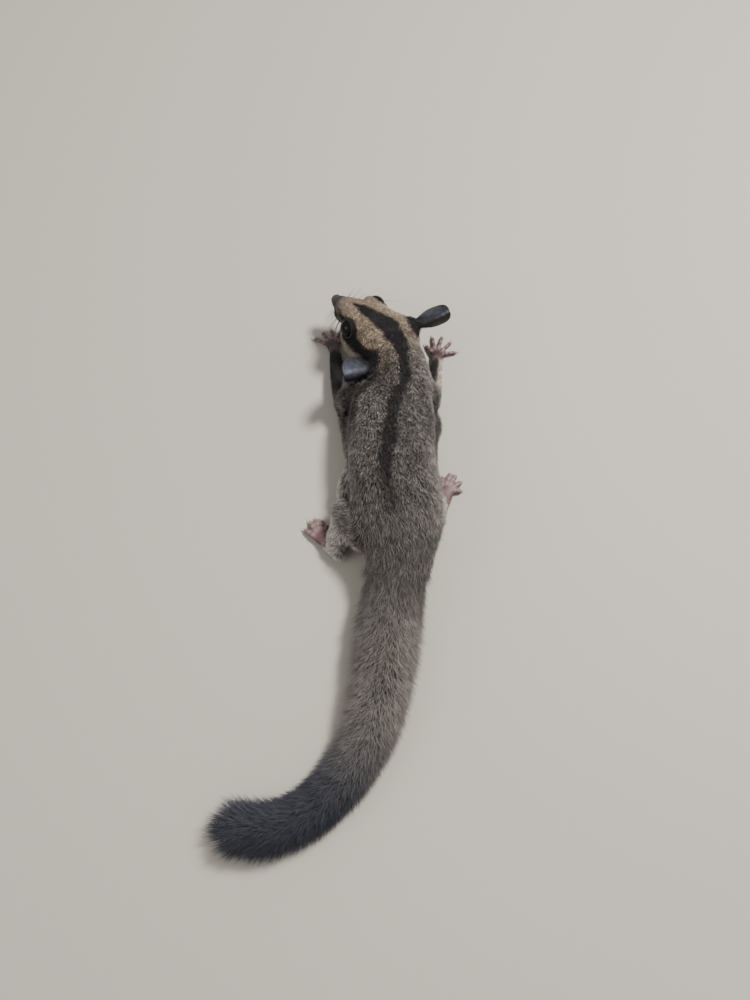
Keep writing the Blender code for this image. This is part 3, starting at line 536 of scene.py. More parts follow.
def mouth_height(y):
    """The height of the closed mouth's line on the muzzle's side, in the head's frame, in mm."""
    t = np.clip((28.6 - y) / 14.0, 0, 1)
    return -6.9 - 0.9 * np.sin(math.pi * t * 0.9) + 1.8 * t * t


def head_places(co):
    """Points in the head's own frame, in mm."""
    turn = np.array(HEAD_PLACE.inverted())
    return (co @ turn[:3, :3].T + turn[:3, 3]) / MM


def carve_face(skin):
    """Draws the mouth's line between its lips, and a cleft from it up to the nose."""
    co, normals = places(skin.data)
    x, y, z = head_places(co).T
    down = -(normals @ np.array(HEAD_PLACE.inverted())[:3, :3].T)[:, 2]
    off = z - mouth_height(y)
    reach = smoothstep(13.4, 15.6, y) * (np.abs(off) < 3) * (y < 34) * smoothstep(0.9, 0.6, down)
    groove = np.exp(-((off / 0.34) ** 2)) * 0.55
    lips = (np.exp(-(((off - 0.9) / 0.5) ** 2)) + np.exp(-(((off + 0.9) / 0.5) ** 2))) * 0.22
    cleft = np.exp(-((x / 0.3) ** 2)) * smoothstep(28.5, 29.5, y) * (z < -4.6) * (z > -7.2) * 0.35
    co += normals * ((lips - groove) * reach - cleft)[:, None] * MM
    skin.data.vertices.foreach_set("co", co.ravel())
    skin.data.update()
    return groove * reach


mouth_groove = carve_face(skin)

# The markings, which skin and coat share. A dark stripe runs from the brow down the spine, and a dark patch
# lies round each eye and back to the ear. Cheeks, throat and belly are cream, and the tail's end is dark.
# Among the markings there is also painted shade in darker patches, painted light on the left hind leg and
# flank, and a painted highlight on the knuckles.
STRIPE = (  # seen from above: x, y, half width, in mm
    (3.2, 115.8, 0.7), (4.4, 114.6, 1.1), (7.8, 111.4, 1.8), (11.8, 107.0, 3.0), (16.2, 104.0, 4.1),
    (20.4, 101.2, 4.4), (24.2, 94.8, 3.4), (25.9, 86.5, 2.5), (26.7, 77.8, 2.3), (25.9, 73.3, 2.4),
    (23.3, 69.3, 2.7), (22.2, 64.8, 2.9), (21.3, 59.9, 3.1), (20.9, 54.9, 3.3), (19.1, 44.9, 3.6),
    (17.8, 35.3, 3.1), (18.6, 26.0, 2.7), (19.9, 17.1, 2.5), (21.9, 4.4, 2.2),
)
EYE_PATCH = (  # in the head's frame, on its right side: x, y, z, half width, in mm
    (3.4, 25.0, -3.0, 0.8), (6.4, 20.6, -0.8, 1.8), (9.4, 14.6, 0.8, 5.4), (10.9, 8.5, 0.6, 3.6),
    (12.2, 2.0, 1.4, 3.4), (12.8, -5.2, 5.2, 5.4),
)
# Darker patches, each along a line of its own, which are partly the fur's own darker colour and partly
# painted shade: behind the left ear down to the arm, with a painted shadow of the ear and head, the nape,
# the right of the back, the right shoulder, the crease of the left thigh, with painted shade in the crease,
# the right flank, with painted shade on the side away from the light, and the loin. Each row is x, y, z,
# half width and how dark.
SHADES = (
    ((12.4, 89.0, 25.6, 3.2, 0.9), (15.0, 82.0, 27.2, 3.0, 0.85), (13.4, 76.0, 26.6, 3.8, 0.85),
     (8.6, 72.6, 22.5, 5.0, 0.9), (3.6, 74.5, 17.0, 6.0, 0.6), (5.6, 64.0, 22.0, 4.6, 0.85),
     (5.0, 57.0, 20.5, 3.6, 0.7), (4.0, 50.0, 17.0, 2.6, 0.5)),
    ((17.6, 88.0, 28.0, 4.4, 0.5), (18.6, 80.0, 29.5, 4.6, 0.6), (18.4, 72.0, 29.8, 3.6, 0.4)),
    ((31.0, 68.0, 31.0, 6.0, 0.12), (30.6, 46.0, 31.0, 7.0, 0.25), (31.0, 22.0, 30.0, 8.0, 0.28)),
    ((33.6, 74.0, 27.0, 3.0, 0.35), (36.0, 64.0, 25.0, 3.4, 0.45), (38.4, 52.0, 22.0, 3.0, 0.5)),
    ((-3.4, 27.6, 10.0, 1.6, 0.8), (2.5, 26.0, 13.0, 1.8, 0.85), (6.2, 22.0, 17.0, 1.8, 0.7),
     (9.4, 17.0, 20.0, 1.6, 0.4)),
    ((38.6, 70.0, 15.0, 4.0, 0.45), (39.2, 60.0, 15.0, 4.4, 0.55), (38.8, 48.0, 15.0, 3.6, 0.5)),
    ((24.0, 42.0, 30.0, 14.0, 0.06), (24.0, 26.0, 30.0, 18.0, 0.28), (24.0, 8.0, 28.0, 16.0, 0.12)),
)


def within(x, start, full, fading, end):
    """A share that grows from start to full and shrinks again from fading to end."""
    return smoothstep(start, full, x) * smoothstep(end, fading, x)


def digit_marks(co, normals):
    """The shares of the digits' skin and of a painted highlight on the upper side of their knuckles and
    tips, at points of the skin.
    """
    painted_knuckle_highlight, digit = np.zeros(len(co)), np.zeros(len(co))
    for paw in PAWS:
        for root, end, _ in digit_ends(paw)[0]:
            root, step = np.array((root.x, root.y, 0)), np.array((end.x - root.x, end.y - root.y, 0))
            t = ((co - root) @ step) / (step @ step)
            far = np.linalg.norm((co - root - t[:, None] * step) * np.array((1, 1, 0.4)), axis=1) / MM
            on_it = smoothstep(2.2, 1.2, far) * within(t, -0.1, 0.25, 1.3, 1.6)
            # A painted highlight on the knuckles and tips, only where the skin faces up towards the light.
            bends = np.exp(-(((t - 0.34) / 0.09) ** 2)) + np.exp(-(((t - 0.7) / 0.08) ** 2))
            bends = np.clip(bends + smoothstep(0.86, 1.0, t), 0, 1)
            painted_knuckle_highlight = np.maximum(painted_knuckle_highlight, bends * on_it * smoothstep(0.1, 0.7, normals[:, 2]))
            digit = np.maximum(digit, on_it)
    return digit, 0.5 * painted_knuckle_highlight


def markings(co, normals, line_of, place_of):
    """The share of each marking at points of the skin."""
    mm = co / MM
    head = head_places(co)
    over, ahead, above = np.abs(head[:, 0]), head[:, 1], head[:, 2]
    on_spine = line_of == SPINE
    on_head = on_spine & (place_of < FIRST_BODY_ROW + 0.5)
    forelegs, hindlegs = np.isin(line_of, FORELEGS), np.isin(line_of, HINDLEGS)
    tail_place = place_of - FIRST_TAIL_ROW

    rows = np.array(STRIPE)
    far, place = nearest_on(mm[:, :2], rows[:, :2])
    half = read_at(rows[:, 2:], place)[:, 0]
    wander = 0.3 * np.sin(mm[:, 1] * 1.1 + 0.6 * mm[:, 0]) + 0.3 * np.sin(mm[:, 1] * 0.43 + 2)
    blur = 0.45 + 0.75 * smoothstep(85, 50, mm[:, 1])
    stripe = smoothstep(0, 1, 0.5 - (far + wander - half) / (2 * blur)) * smoothstep(-4, 34, mm[:, 1])
    stripe = stripe * smoothstep(0.0, 0.35, normals[:, 2]) * (1 - 0.12 * smoothstep(90, 60, mm[:, 1]))

    rows = np.array(EYE_PATCH)
    mirrored = np.stack([over, ahead, above], axis=1)
    far, place = nearest_on(mirrored, rows[:, :3])
    eye_patch = smoothstep(1.25, 0.8, far / read_at(rows[:, 3:], place)[:, 0]) * on_spine
    rim = np.where(head[:, 0] < 0, 5.9, 5.2)  # the dark rim is broader on the left eye
    rim = smoothstep(0.4, -0.3, np.linalg.norm(mirrored - np.array(EYE_CENTRE) / MM, axis=1) - rim)
    eye_patch = np.maximum(eye_patch, rim * on_head)

    # A darker band over the tail's root, then the patches of darker fur and painted shade along their lines.
    dark_fur_and_painted_shade = 0.3 * within(tail_place, -0.8, -0.3, -0.3, 2.8) * on_spine
    for rows in SHADES:
        rows = np.array(rows)
        far, place = nearest_on(mm, rows[:, :3])
        half, dark = read_at(rows[:, 3:], place).T
        dark_fur_and_painted_shade = np.maximum(dark_fur_and_painted_shade, smoothstep(1.35, 0.65, far / half) * dark)

    right_arm = line_of == FORELEGS[1]  # the pale fringe on the right forearm's outer side
    rows = COAT_LINES["foreleg_right"]
    outward = (mm[:, 0] - read_at(rows[:, :1], np.where(right_arm, place_of, 0))[:, 0]) / 3
    fringe = smoothstep(0.0, 0.5, outward) * within(place_of, 1.3, 1.9, 3.4, 4.0) * right_arm

    below = smoothstep(0.15, -0.55, normals[:, 2]) * (~on_spine | (place_of < FIRST_TAIL_ROW + 0.5))
    cheek = smoothstep(-1.5, -4.5, above) * on_head * smoothstep(28, 24, ahead)
    # Pale fur on the hind legs, made lighter still as painted light where the left leg's side faces away
    # from the key light.
    pale_fur_and_painted_light = within(place_of, 0.6, 1.8, 3.4, 4.2) * hindlegs
    lip = smoothstep(20, 25, ahead) * smoothstep(-2.4, -4.2, above)
    bare = smoothstep(3.3, 4.3, place_of) * forelegs + smoothstep(3.6, 4.6, place_of) * hindlegs
    digit, painted_knuckle_highlight = digit_marks(co, normals)
    tan = within(ahead, -25, 7, 28, 32) * smoothstep(-2, 3, above) * smoothstep(20, 14, over)
    return {
        "stripe": stripe,
        "eye_patch": eye_patch,
        "tan": tan * on_spine,
        "cream": np.maximum(np.maximum(below, cheek), fringe),
        "dusk": smoothstep(4.6, 7.3, tail_place) * on_spine,
        "dark_fur_and_painted_shade": dark_fur_and_painted_shade,
        "arm_dark": within(place_of, 0.8, 1.6, 3.2, 4.2) * forelegs * (1 - fringe),
        # The left flank's rear, lightened with painted light where the body shades it.
        "pale_fur_and_painted_light": pale_fur_and_painted_light + 0.75 * smoothstep(0.9, 1.6, place_of) * (line_of == MEMBRANES[0]),
        "bare": bare,
        "hand": bare * forelegs,
        "digit": digit,
        "painted_knuckle_highlight": painted_knuckle_highlight,
        "palm": bare * forelegs * (1 - digit),
        "muzzle": smoothstep(26.0, 29.5, ahead - 0.8 * above - 3.5) * on_head,
        "lip": np.maximum(lip, smoothstep(27.4, 29.0, ahead)) * on_head,
    }


LINE_END = 99  # beyond every line's last station
COAT_PATCHES = {  # each coat piece: the line it grows on, and from which station to which
    "coat_face": (SPINE, 0, 3.3),
    "coat_crown": (SPINE, 3.3, 6.2),
    "coat_neck": (SPINE, 6.2, 9.0),
    "coat_shoulders": (SPINE, 9.0, 11.3),
    "coat_back": (SPINE, 11.3, 13.6),
    "coat_rump": (SPINE, 13.6, FIRST_TAIL_ROW - 0.5),
    "coat_tail_root": (SPINE, FIRST_TAIL_ROW - 0.5, FIRST_TAIL_ROW + 1.5),
    "coat_tail_base": (SPINE, FIRST_TAIL_ROW + 1.5, FIRST_TAIL_ROW + 3.3),
    "coat_tail_upper": (SPINE, FIRST_TAIL_ROW + 3.3, FIRST_TAIL_ROW + 5.4),
    "coat_tail_lower": (SPINE, FIRST_TAIL_ROW + 5.4, FIRST_TAIL_ROW + 7.4),
    "coat_tail_tip": (SPINE, FIRST_TAIL_ROW + 7.4, LINE_END),
    "coat_forelegs": (FORELEGS, 0, LINE_END),
    "coat_hindlegs": (HINDLEGS, 0, LINE_END),
    "coat_flanks": (MEMBRANES, 0, LINE_END),
}


def set_attribute(mesh, name, values, kind="FLOAT", domain="POINT"):
    made = mesh.attributes.new(name, kind, domain)
    key = "vector" if kind in ("FLOAT_VECTOR", "FLOAT2") else "value"
    made.data.foreach_set(key, np.ascontiguousarray(values, int if kind == "INT" else np.float32).ravel())


def room_over(skin, co, normals):
    """How free each point of the skin is, from 0 deep in a fold to 1 with nothing near above it."""
    tree = BVHTree.FromObject(skin, bpy.context.evaluated_depsgraph_get())
    free = 7 * MM
    room = np.ones(len(co))
    for i, (place, way) in enumerate(zip(co + normals * (0.3 * MM), normals)):
        distance = tree.ray_cast(Vector(place), Vector(way), free)[3]
        if distance is not None:
            room[i] = distance / free
    return room


def prepare_skin(skin):
    """Writes the coat's lie and measures, the markings and the skin's own unwrap onto the skin."""
    mesh = skin.data
    co, normals = places(mesh)
    lie, measures, line_of, place_of = coat_at(co / MM)
    room = np.clip(0.15 + room_over(skin, co, normals), 0, 1)
    measures[:, :2] *= room[:, None]  # hair in folds stays short
    lie -= normals * np.sum(lie * normals, axis=1)[:, None]
    length = np.linalg.norm(lie, axis=1)
    lie[length < 1e-6] = (0, -1, 0)
    lie /= np.maximum(np.linalg.norm(lie, axis=1), 1e-9)[:, None]
    head = head_places(co)
    crowd = measures[:, 3].copy()
    for sign in (-1, 1):  # no hair on the eyeballs, their lids, the nose or in the mouth
        eye, axis = (np.array(v) for v in eye_at(sign))
        off = head - eye / MM
        along = off @ axis
        round_eye = np.linalg.norm(off - along[:, None] * axis, axis=1)
        crowd *= np.where((along > -0.5) & (round_eye < 6), smoothstep(4.2, 4.7, round_eye), 1)
    nose = np.array(NOSE_CENTRE) / MM
    crowd *= smoothstep(2.5, 3.2, np.linalg.norm(head - nose, axis=1))
    crowd *= 1 - np.clip(mouth_groove * 2.4, 0, 1)
    crowd *= np.where(co[:, 2] < 0.6 * MM, 0.3, 1)  # thin where the animal rests on the floor
    for name, values in markings(co, normals, line_of, place_of).items():
        set_attribute(mesh, name, values)
    set_attribute(mesh, "lie", lie, "FLOAT_VECTOR")
    for i, name in enumerate(("run", "rise", "breadth")):
        set_attribute(mesh, name, measures[:, i] * MM)
    set_attribute(mesh, "crowd", crowd * 1e6)
    set_attribute(mesh, "mouth", np.clip(mouth_groove * 2, 0, 1))
    unwrap_skin(mesh, co, line_of, place_of)
    mesh.shade_smooth()


def unwrap_skin(mesh, co, line_of, place_of):
    """Unwraps each coat piece's patch along its line and round it, with the seam underneath."""
    round_it = np.zeros(len(co))
    for number, rows in enumerate(COAT_LINES.values()):
        mine = line_of == number
        tangents = np.gradient(rows[:, :3], axis=0)
        at = read_at(rows[:, :3], place_of[mine])
        tangent = read_at(tangents, place_of[mine])
        side = np.cross(tangent, (0, 0, 1))
        side /= np.linalg.norm(side, axis=1)[:, None]
        up = np.cross(side, tangent)
        up /= np.linalg.norm(up, axis=1)[:, None]
        off = co[mine] / MM - at
        angle = np.arctan2(np.sum(off * up, axis=1), np.sum(off * side, axis=1)) + math.pi / 2
        round_it[mine] = (angle % (2 * math.pi)) / (2 * math.pi)
    corners = np.zeros(len(mesh.loops), int)
    mesh.loops.foreach_get("vertex_index", corners)
    corners = corners.reshape(-1, 3)
    patch = np.zeros(len(corners), int)
    line_of_face, place_of_face = line_of[corners[:, 0]], place_of[corners].mean(axis=1)
    along = np.zeros(len(corners) * 3).reshape(-1, 3)
    for number, (lines, first, last) in enumerate(COAT_PATCHES.values()):
        mine = np.isin(line_of_face, lines) & (place_of_face >= first) & (place_of_face < last)
        patch[mine] = number
        places_here = place_of[corners[mine]]
        low, high = places_here.min(), places_here.max()
        along[mine] = (places_here - low) / (high - low)
        if not isinstance(lines, int):  # two legs side by side, each in its own half
            along[mine] = along[mine] * 0.48 + 0.5 * (line_of_face[mine] == lines[1])[:, None]
    rounds = round_it[corners]
    crosses = np.ptp(rounds, axis=1) > 0.5
    rounds[crosses] += rounds[crosses] < 0.5
    unwrap = np.stack([0.004 + along * 0.988, rounds], axis=2)
    set_attribute(mesh, "unwrap", unwrap, "FLOAT2", "CORNER")
    set_attribute(mesh, "patch", patch, "INT", "FACE")


prepare_skin(skin)


def linear(hexed):
    """A colour written as sRGB hex, turned to the linear values that the shaders work in."""
    found = []
    for i in (1, 3, 5):
        c = int(hexed[i : i + 2], 16) / 255
        found.append(c / 12.92 if c <= 0.04045 else ((c + 0.055) / 1.055) ** 2.4)
    return (*found, 1)


def give(tree, node, inputs):
    """Sets or links a node's inputs by name or number; a node as a value stands for its first output."""
    for key, value in inputs.items():
        if isinstance(value, bpy.types.Node):
            value = value.outputs[0]
        if isinstance(value, bpy.types.NodeSocket):
            tree.links.new(value, node.inputs[key])
        else:
            node.inputs[key].default_value = value


def add_node(tree, kind, inputs=None, **settings):
    """Adds a node with its settings and its inputs."""
    made = tree.nodes.new(kind)
    for name, value in settings.items():
        setattr(made, name, value)
    give(tree, made, inputs or {})
    return made


def new_material(name):
    """An empty material, its tree, and its one Principled shader."""
    made = bpy.data.materials.new(name)
    made.use_nodes = True
    tree = made.node_tree
    return made, tree, tree.nodes["Principled BSDF"]


def overlaid(tree, tone, *layers):
    """Lays colours over a tone in turn. Each layer is its share, its colour and, if need be, how it blends.
    The share is a marking's name, a number or a socket, and a colour is sRGB hex or a socket."""
    for share, colour, *blend in layers:
        if isinstance(share, str):
            share = add_node(tree, "ShaderNodeAttribute", attribute_name=share).outputs["Fac"]
        under, over = (linear(c) if isinstance(c, str) else c for c in (tone, colour))
        tone = add_node(tree, "ShaderNodeMix", {0: share, 6: under, 7: over}, data_type="RGBA",
                        blend_type=blend[0] if blend else "MIX").outputs[2]
    return tone


# What the eye reads at the hair's tips and at its roots: grey-brown fur ticked with pale tips over a dark
# underfur, warm tan over the eyes, cream below, near black in the stripe and round the eyes, and slate at
# the end of the tail.
COAT_TONES = (  # marking, colour at the tips, colour at the roots
    ("plain", "#8E857E", "#151210"),
    ("tan", "#C8B294", "#332A22"),
    # partly pale fur, partly painted light on the shaded left hind leg and flank
    ("pale_fur_and_painted_light", "#E0D7CE", "#6A625B"),
    ("cream", "#D2C6B2", "#74695C"),
    # partly darker fur, partly painted shade
    ("dark_fur_and_painted_shade", "#38322E", "#121010"),
    ("eye_patch", "#221E1D", "#100E0E"),
    ("stripe", "#231E1D", "#0F0D0D"),
    ("arm_dark", "#2A2523", "#110F0F"),
    ("muzzle", "#7A6459", "#3E302D"),
    ("lip", "#3E3031", "#22191B"),
    ("dusk", "#484951", "#1B1B21"),
    ("bare", "#7E6A66", "#5A4340"),
)


def coat_tone(tree, tipness):
    """The coat's colour by its markings, from the dark root of a hair to its pale tip."""
    (_, tip, root), *rest = COAT_TONES
    tip = overlaid(tree, tip, *((marking, tone) for marking, tone, _ in rest))
    root = overlaid(tree, root, *((marking, tone) for marking, _, tone in rest))
    return overlaid(tree, root, (tipness, tip))


def skin_material():
    """Bare living skin: dark and matt under the coat, pink, creased and a little moist on palms and toes,
    with a painted highlight on the knuckles.
    """
    made, tree, shader = new_material("glider_skin")
    where = add_node(tree, "ShaderNodeTexCoord").outputs["Object"]
    flush = add_node(tree, "ShaderNodeTexNoise", {"Vector": where, "Scale": 1 / (2.2 * MM), "Detail": 3.0})
    flush = add_node(tree, "ShaderNodeMath", {0: flush, 1: 0.5}, operation="MULTIPLY")
    # The paws' pink, with a painted highlight on the knuckles.
    pink = overlaid(tree, "#4A2E2A", ("digit", "#634F4E"), ("hand", "#A08080", "MULTIPLY"),
                    (flush, "#664644"), ("painted_knuckle_highlight", "#88736F"), ("palm", "#9A6A62", "MULTIPLY"))
    tone = overlaid(tree, coat_tone(tree, 0.25), ("bare", pink), ("mouth", "#1D1413"))
    creases = add_node(tree, "ShaderNodeTexVoronoi", {"Vector": where, "Scale": 1 / (0.55 * MM)},
                       feature="DISTANCE_TO_EDGE")
    grain = add_node(tree, "ShaderNodeTexNoise", {"Vector": where, "Scale": 1 / (0.3 * MM), "Detail": 4.0})
    bump = add_node(tree, "ShaderNodeBump", {"Height": creases, "Distance": 0.12 * MM, "Strength": 0.6})
    bump = add_node(tree, "ShaderNodeBump",
                    {"Height": grain, "Distance": 0.08 * MM, "Strength": 0.5, "Normal": bump})
    give(tree, shader, {"Base Color": tone, "Normal": bump, "Roughness": 0.5, "Subsurface Weight": 0.15,
                        "Subsurface Radius": (0.0012, 0.0005, 0.0003)})
    return made


skin.data.materials.append(skin_material())
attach(skin, "root")
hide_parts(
    *FLESH_NODES, "head", "hand_left", "hand_right", "foot_left", "foot_right",
    "tail_root", "tail_upper", "tail_lower", "tail_tip",
)


# The coat. Soft dense fur, each hair dark at its root and pale towards its tip, grown in fine tufts that run
# back along the body and cling together at their ends. Each tuft is a thin bent three-sided blade; the tree
# below scatters them over the skin, lays them along its lie and keeps the ones near the floor above it.
TUFTS = (  # spine as (run, sideways, rise), each a share; widths at its rings as shares of the breadth
    (((0.0, 0.0, -0.12), (0.42, 0.03, 0.62), (1.0, 0.0, 1.0)), (1.0, 0.72)),
    (((0.0, 0.0, -0.12), (0.40, 0.08, 0.70), (0.92, 0.2, 1.12)), (0.9, 0.62)),
    (((0.0, 0.0, -0.1), (0.95, -0.16, 0.9)), (0.95,)),
    (((0.0, 0.0, -0.1), (0.84, 0.1, 1.14)), (0.85,)),
)
LONG_TUFTS = (
    (((0.0, 0.0, -0.06), (0.40, 0.02, 0.56), (1.0, 0.0, 1.0)), (1.0, 0.8)),
    (((0.0, 0.0, -0.06), (0.42, 0.10, 0.60), (0.94, 0.24, 1.05)), (0.9, 0.75)),
    (((0.0, 0.0, -0.06), (0.40, -0.08, 0.50), (0.98, -0.26, 0.92)), (0.9, 0.75)),
    (((0.0, 0.0, -0.06), (0.36, -0.03, 0.60), (0.80, -0.08, 1.10)), (0.8, 0.6)),
)
PATCH_SIZE = 0.003  # of a tuft on the unwrap
FLOOR_MARGIN = 1.2 * MM  # above the floor, where hair starts to lie down


def make_tuft(name, spine, widths, thickness, home):
    """One blade of unit size with its share from root to tip and a small map of its own."""
    bm = bmesh.new()
    tip_share = bm.verts.layers.float.new("tip")
    rings = []
    for i, ((x, y, z), wide) in enumerate(zip(spine, widths)):
        thick = thickness * (1 - 0.3 * i)
        ring = [bm.verts.new((x, y - wide / 2, z)), bm.verts.new((x, y + wide / 2, z)),
                bm.verts.new((x, y, z + thick))]
        for vert in ring:
            vert[tip_share] = i / (len(spine) - 1)
        rings.append(ring)
    point = bm.verts.new(spine[-1])
    point[tip_share] = 1.0
    bridge(bm, rings)
    for k in range(3):
        bm.faces.new((rings[-1][k], rings[-1][(k + 1) % 3], point))
    bm.faces.new(rings[0][::-1])
    bmesh.ops.recalc_face_normals(bm, faces=bm.faces)
    own = bm.loops.layers.uv.new("tuft_map")
    for face in bm.faces:
        for loop in face.loops:
            loop[own].uv = (loop.vert[tip_share], 0.5 + loop.vert.co.y * 0.5)
    mesh = new_mesh(name, bm)
    mesh.shade_smooth()
    new_object(name, mesh, home)


def tuft_collection(name, shapes, thickness):
    """The shapes of one kind of tuft, with its thickness at the root as a share of the rise."""
    home = bpy.data.collections.new(name)
    for i, (spine, widths) in enumerate(shapes):
        make_tuft(f"{name}_{i}", spine, widths, thickness, home)
    return home


def coat_tree():
    """Scatters tufts over one patch of the skin and returns them as one mesh."""
    tree = bpy.data.node_groups.new("grow_coat", "GeometryNodeTree")
    for name, kind, first in (
        ("Skin", "Geometry", None), ("Tufts", "Collection", None), ("Patch", "Int", 0),
        ("Crowding", "Float", 1.0), ("Seed", "Int", 1), ("Yaw Spread", "Float", 0.2),
        ("Clump Size", "Float", 1.6 * MM), ("Clump Pull", "Float", 0.5), ("Softness", "Float", 0.6),
        ("Ticking", "Float", 1.0), ("Unevenness", "Float", 0.38), ("Floor Margin", "Float", FLOOR_MARGIN),
        ("Hair", "Material", None),
    ):
        socket = tree.interface.new_socket(name=name, in_out="INPUT", socket_type="NodeSocket" + kind)
        if first is not None:
            socket.default_value = first
    tree.interface.new_socket(name="Coat", in_out="OUTPUT", socket_type="NodeSocketGeometry")
    given = add_node(tree, "NodeGroupInput").outputs
    carried = {}  # what the skin and the tufts carry
    for kind, names in (("INT", ("patch",)), ("FLOAT", ("crowd", "run", "rise", "breadth")),
                        ("FLOAT_VECTOR", ("lie", "unwrap", "tuft_map", "pelt"))):
        for name in names:
            carried[name] = add_node(tree, "GeometryNodeInputNamedAttribute", {"Name": name}, data_type=kind)
    drawn = {}  # a random number for each tuft, each with the draw's own number as its seed
    for name, low, high, number in (
        ("yaw", -1.0, 1.0, 11), ("pitch", -0.12, 0.16, 12), ("run", 0.72, 1.2, 1),
        ("breadth", 0.7, 1.3, 2), ("rise", -0.5, 0.5, 3), ("tone", 0.0, 1.0, 5),
    ):
        draw = {2: low, 3: high, "Seed": number}
        drawn[name] = add_node(tree, "FunctionNodeRandomValue", draw, data_type="FLOAT").outputs[1]

    here = add_node(tree, "FunctionNodeCompare", {2: carried["patch"], 3: given["Patch"]}, data_type="INT",
                    operation="EQUAL")
    crowd = add_node(tree, "ShaderNodeMath", {0: carried["crowd"], 1: given["Crowding"]},
                     operation="MULTIPLY")
    roots = add_node(tree, "GeometryNodeDistributePointsOnFaces",
                     {"Mesh": given["Skin"], "Selection": here, "Density": crowd, "Seed": given["Seed"]})

    # Neighbours lean towards the middle of a small cell, which draws their ends together.
    where = add_node(tree, "GeometryNodeInputPosition")
    fineness = add_node(tree, "ShaderNodeMath", {0: 1.0, 1: given["Clump Size"]}, operation="DIVIDE")
    cells = add_node(tree, "ShaderNodeTexVoronoi", {"Vector": where, "Scale": fineness})
    inwards = add_node(tree, "ShaderNodeVectorMath", {0: cells.outputs["Position"], 1: where},
                       operation="SUBTRACT")
    pulled = add_node(tree, "ShaderNodeVectorMath", {0: inwards, "Scale": given["Clump Pull"]},
                      operation="SCALE")
    straight = add_node(tree, "ShaderNodeVectorMath", {0: carried["lie"], "Scale": carried["run"]},
                        operation="SCALE")
    leaning = add_node(tree, "ShaderNodeVectorMath", {0: straight, 1: pulled}, operation="ADD")
    aim = add_node(tree, "FunctionNodeAxesToRotation", {0: roots.outputs["Normal"], 1: leaning},
                   primary_axis="Z", secondary_axis="X")
    yaw = add_node(tree, "ShaderNodeMath", {0: drawn["yaw"], 1: given["Yaw Spread"]}, operation="MULTIPLY")
    wobble = add_node(tree, "ShaderNodeCombineXYZ", {1: drawn["pitch"], 2: yaw})
    wobble = add_node(tree, "FunctionNodeEulerToRotation", {0: wobble})
    aim = add_node(tree, "FunctionNodeRotateRotation", {0: aim, 1: wobble}, rotation_space="LOCAL")

    height = add_node(tree, "ShaderNodeMath", {0: drawn["rise"], 1: given["Unevenness"], 2: 0.95},
                      operation="MULTIPLY_ADD")
    size = add_node(tree, "ShaderNodeCombineXYZ")
    drawn["rise"] = height
    for axis, name in enumerate(("run", "breadth", "rise")):
        varied = add_node(tree, "ShaderNodeMath", {0: carried[name], 1: drawn[name]}, operation="MULTIPLY")
        give(tree, size, {axis: varied})
    shapes = add_node(tree, "GeometryNodeCollectionInfo",
                      {"Collection": given["Tufts"], "Separate Children": True, "Reset Children": True})
    rooted = add_node(tree, "GeometryNodeStoreNamedAttribute",
                      {0: roots, "Name": "pelt", "Value": roots.outputs["Normal"]},
                      data_type="FLOAT_VECTOR", domain="POINT")
    tufts = add_node(tree, "GeometryNodeInstanceOnPoints", {
        "Points": rooted, "Instance": shapes, "Pick Instance": True, "Rotation": aim, "Scale": size})

    # How light each tuft is, half by its cell and half by its own draw.
    cell = add_node(tree, "FunctionNodeSeparateColor", {0: cells.outputs["Color"]})
    own = add_node(tree, "ShaderNodeMix", {0: 0.5, 2: cell, 3: drawn["tone"]}, data_type="FLOAT")
    ticked = add_node(tree, "ShaderNodeMix", {0: given["Ticking"], 2: 0.5, 3: own}, data_type="FLOAT",
                      clamp_factor=False)
    chance = add_node(tree, "GeometryNodeStoreNamedAttribute", {0: tufts, "Name": "chance", "Value": ticked},
                      data_type="FLOAT", domain="INSTANCE")
    real = add_node(tree, "GeometryNodeRealizeInstances", {0: chance})

    # Each tuft's patch on the unwrap, where its root is.
    root_map = add_node(tree, "ShaderNodeVectorMath", {0: carried["unwrap"]}, operation="FRACTION")
    own_map = add_node(tree, "ShaderNodeVectorMath", {0: carried["tuft_map"], "Scale": PATCH_SIZE},
                       operation="SCALE")
    both = add_node(tree, "ShaderNodeVectorMath", {0: root_map, 1: own_map}, operation="ADD")
    mapped = add_node(tree, "GeometryNodeStoreNamedAttribute", {0: real, "Name": "OFBake", "Value": both},
                      data_type="FLOAT2", domain="CORNER")

    # Hair that would reach under the floor is laid along it: below the margin its height shrinks to nothing.
    apart = add_node(tree, "ShaderNodeSeparateXYZ", {0: where})
    over = add_node(tree, "ShaderNodeMath", {0: apart.outputs[2], 1: given["Floor Margin"]},
                    operation="DIVIDE")
    less = add_node(tree, "ShaderNodeMath", {0: over, 1: 1.0}, operation="SUBTRACT")
    shrunk = add_node(tree, "ShaderNodeMath", {0: math.e, 1: less}, operation="POWER")
    pressed = add_node(tree, "ShaderNodeMath", {0: shrunk, 1: given["Floor Margin"]}, operation="MULTIPLY")
    low = add_node(tree, "FunctionNodeCompare", {0: apart.outputs[2], 1: given["Floor Margin"]},
                   data_type="FLOAT", operation="LESS_THAN")
    bent = add_node(tree, "ShaderNodeCombineXYZ", {0: apart, 1: apart.outputs[1], 2: pressed})
    laid = add_node(tree, "GeometryNodeSetPosition", {0: mapped, "Selection": low, "Position": bent})

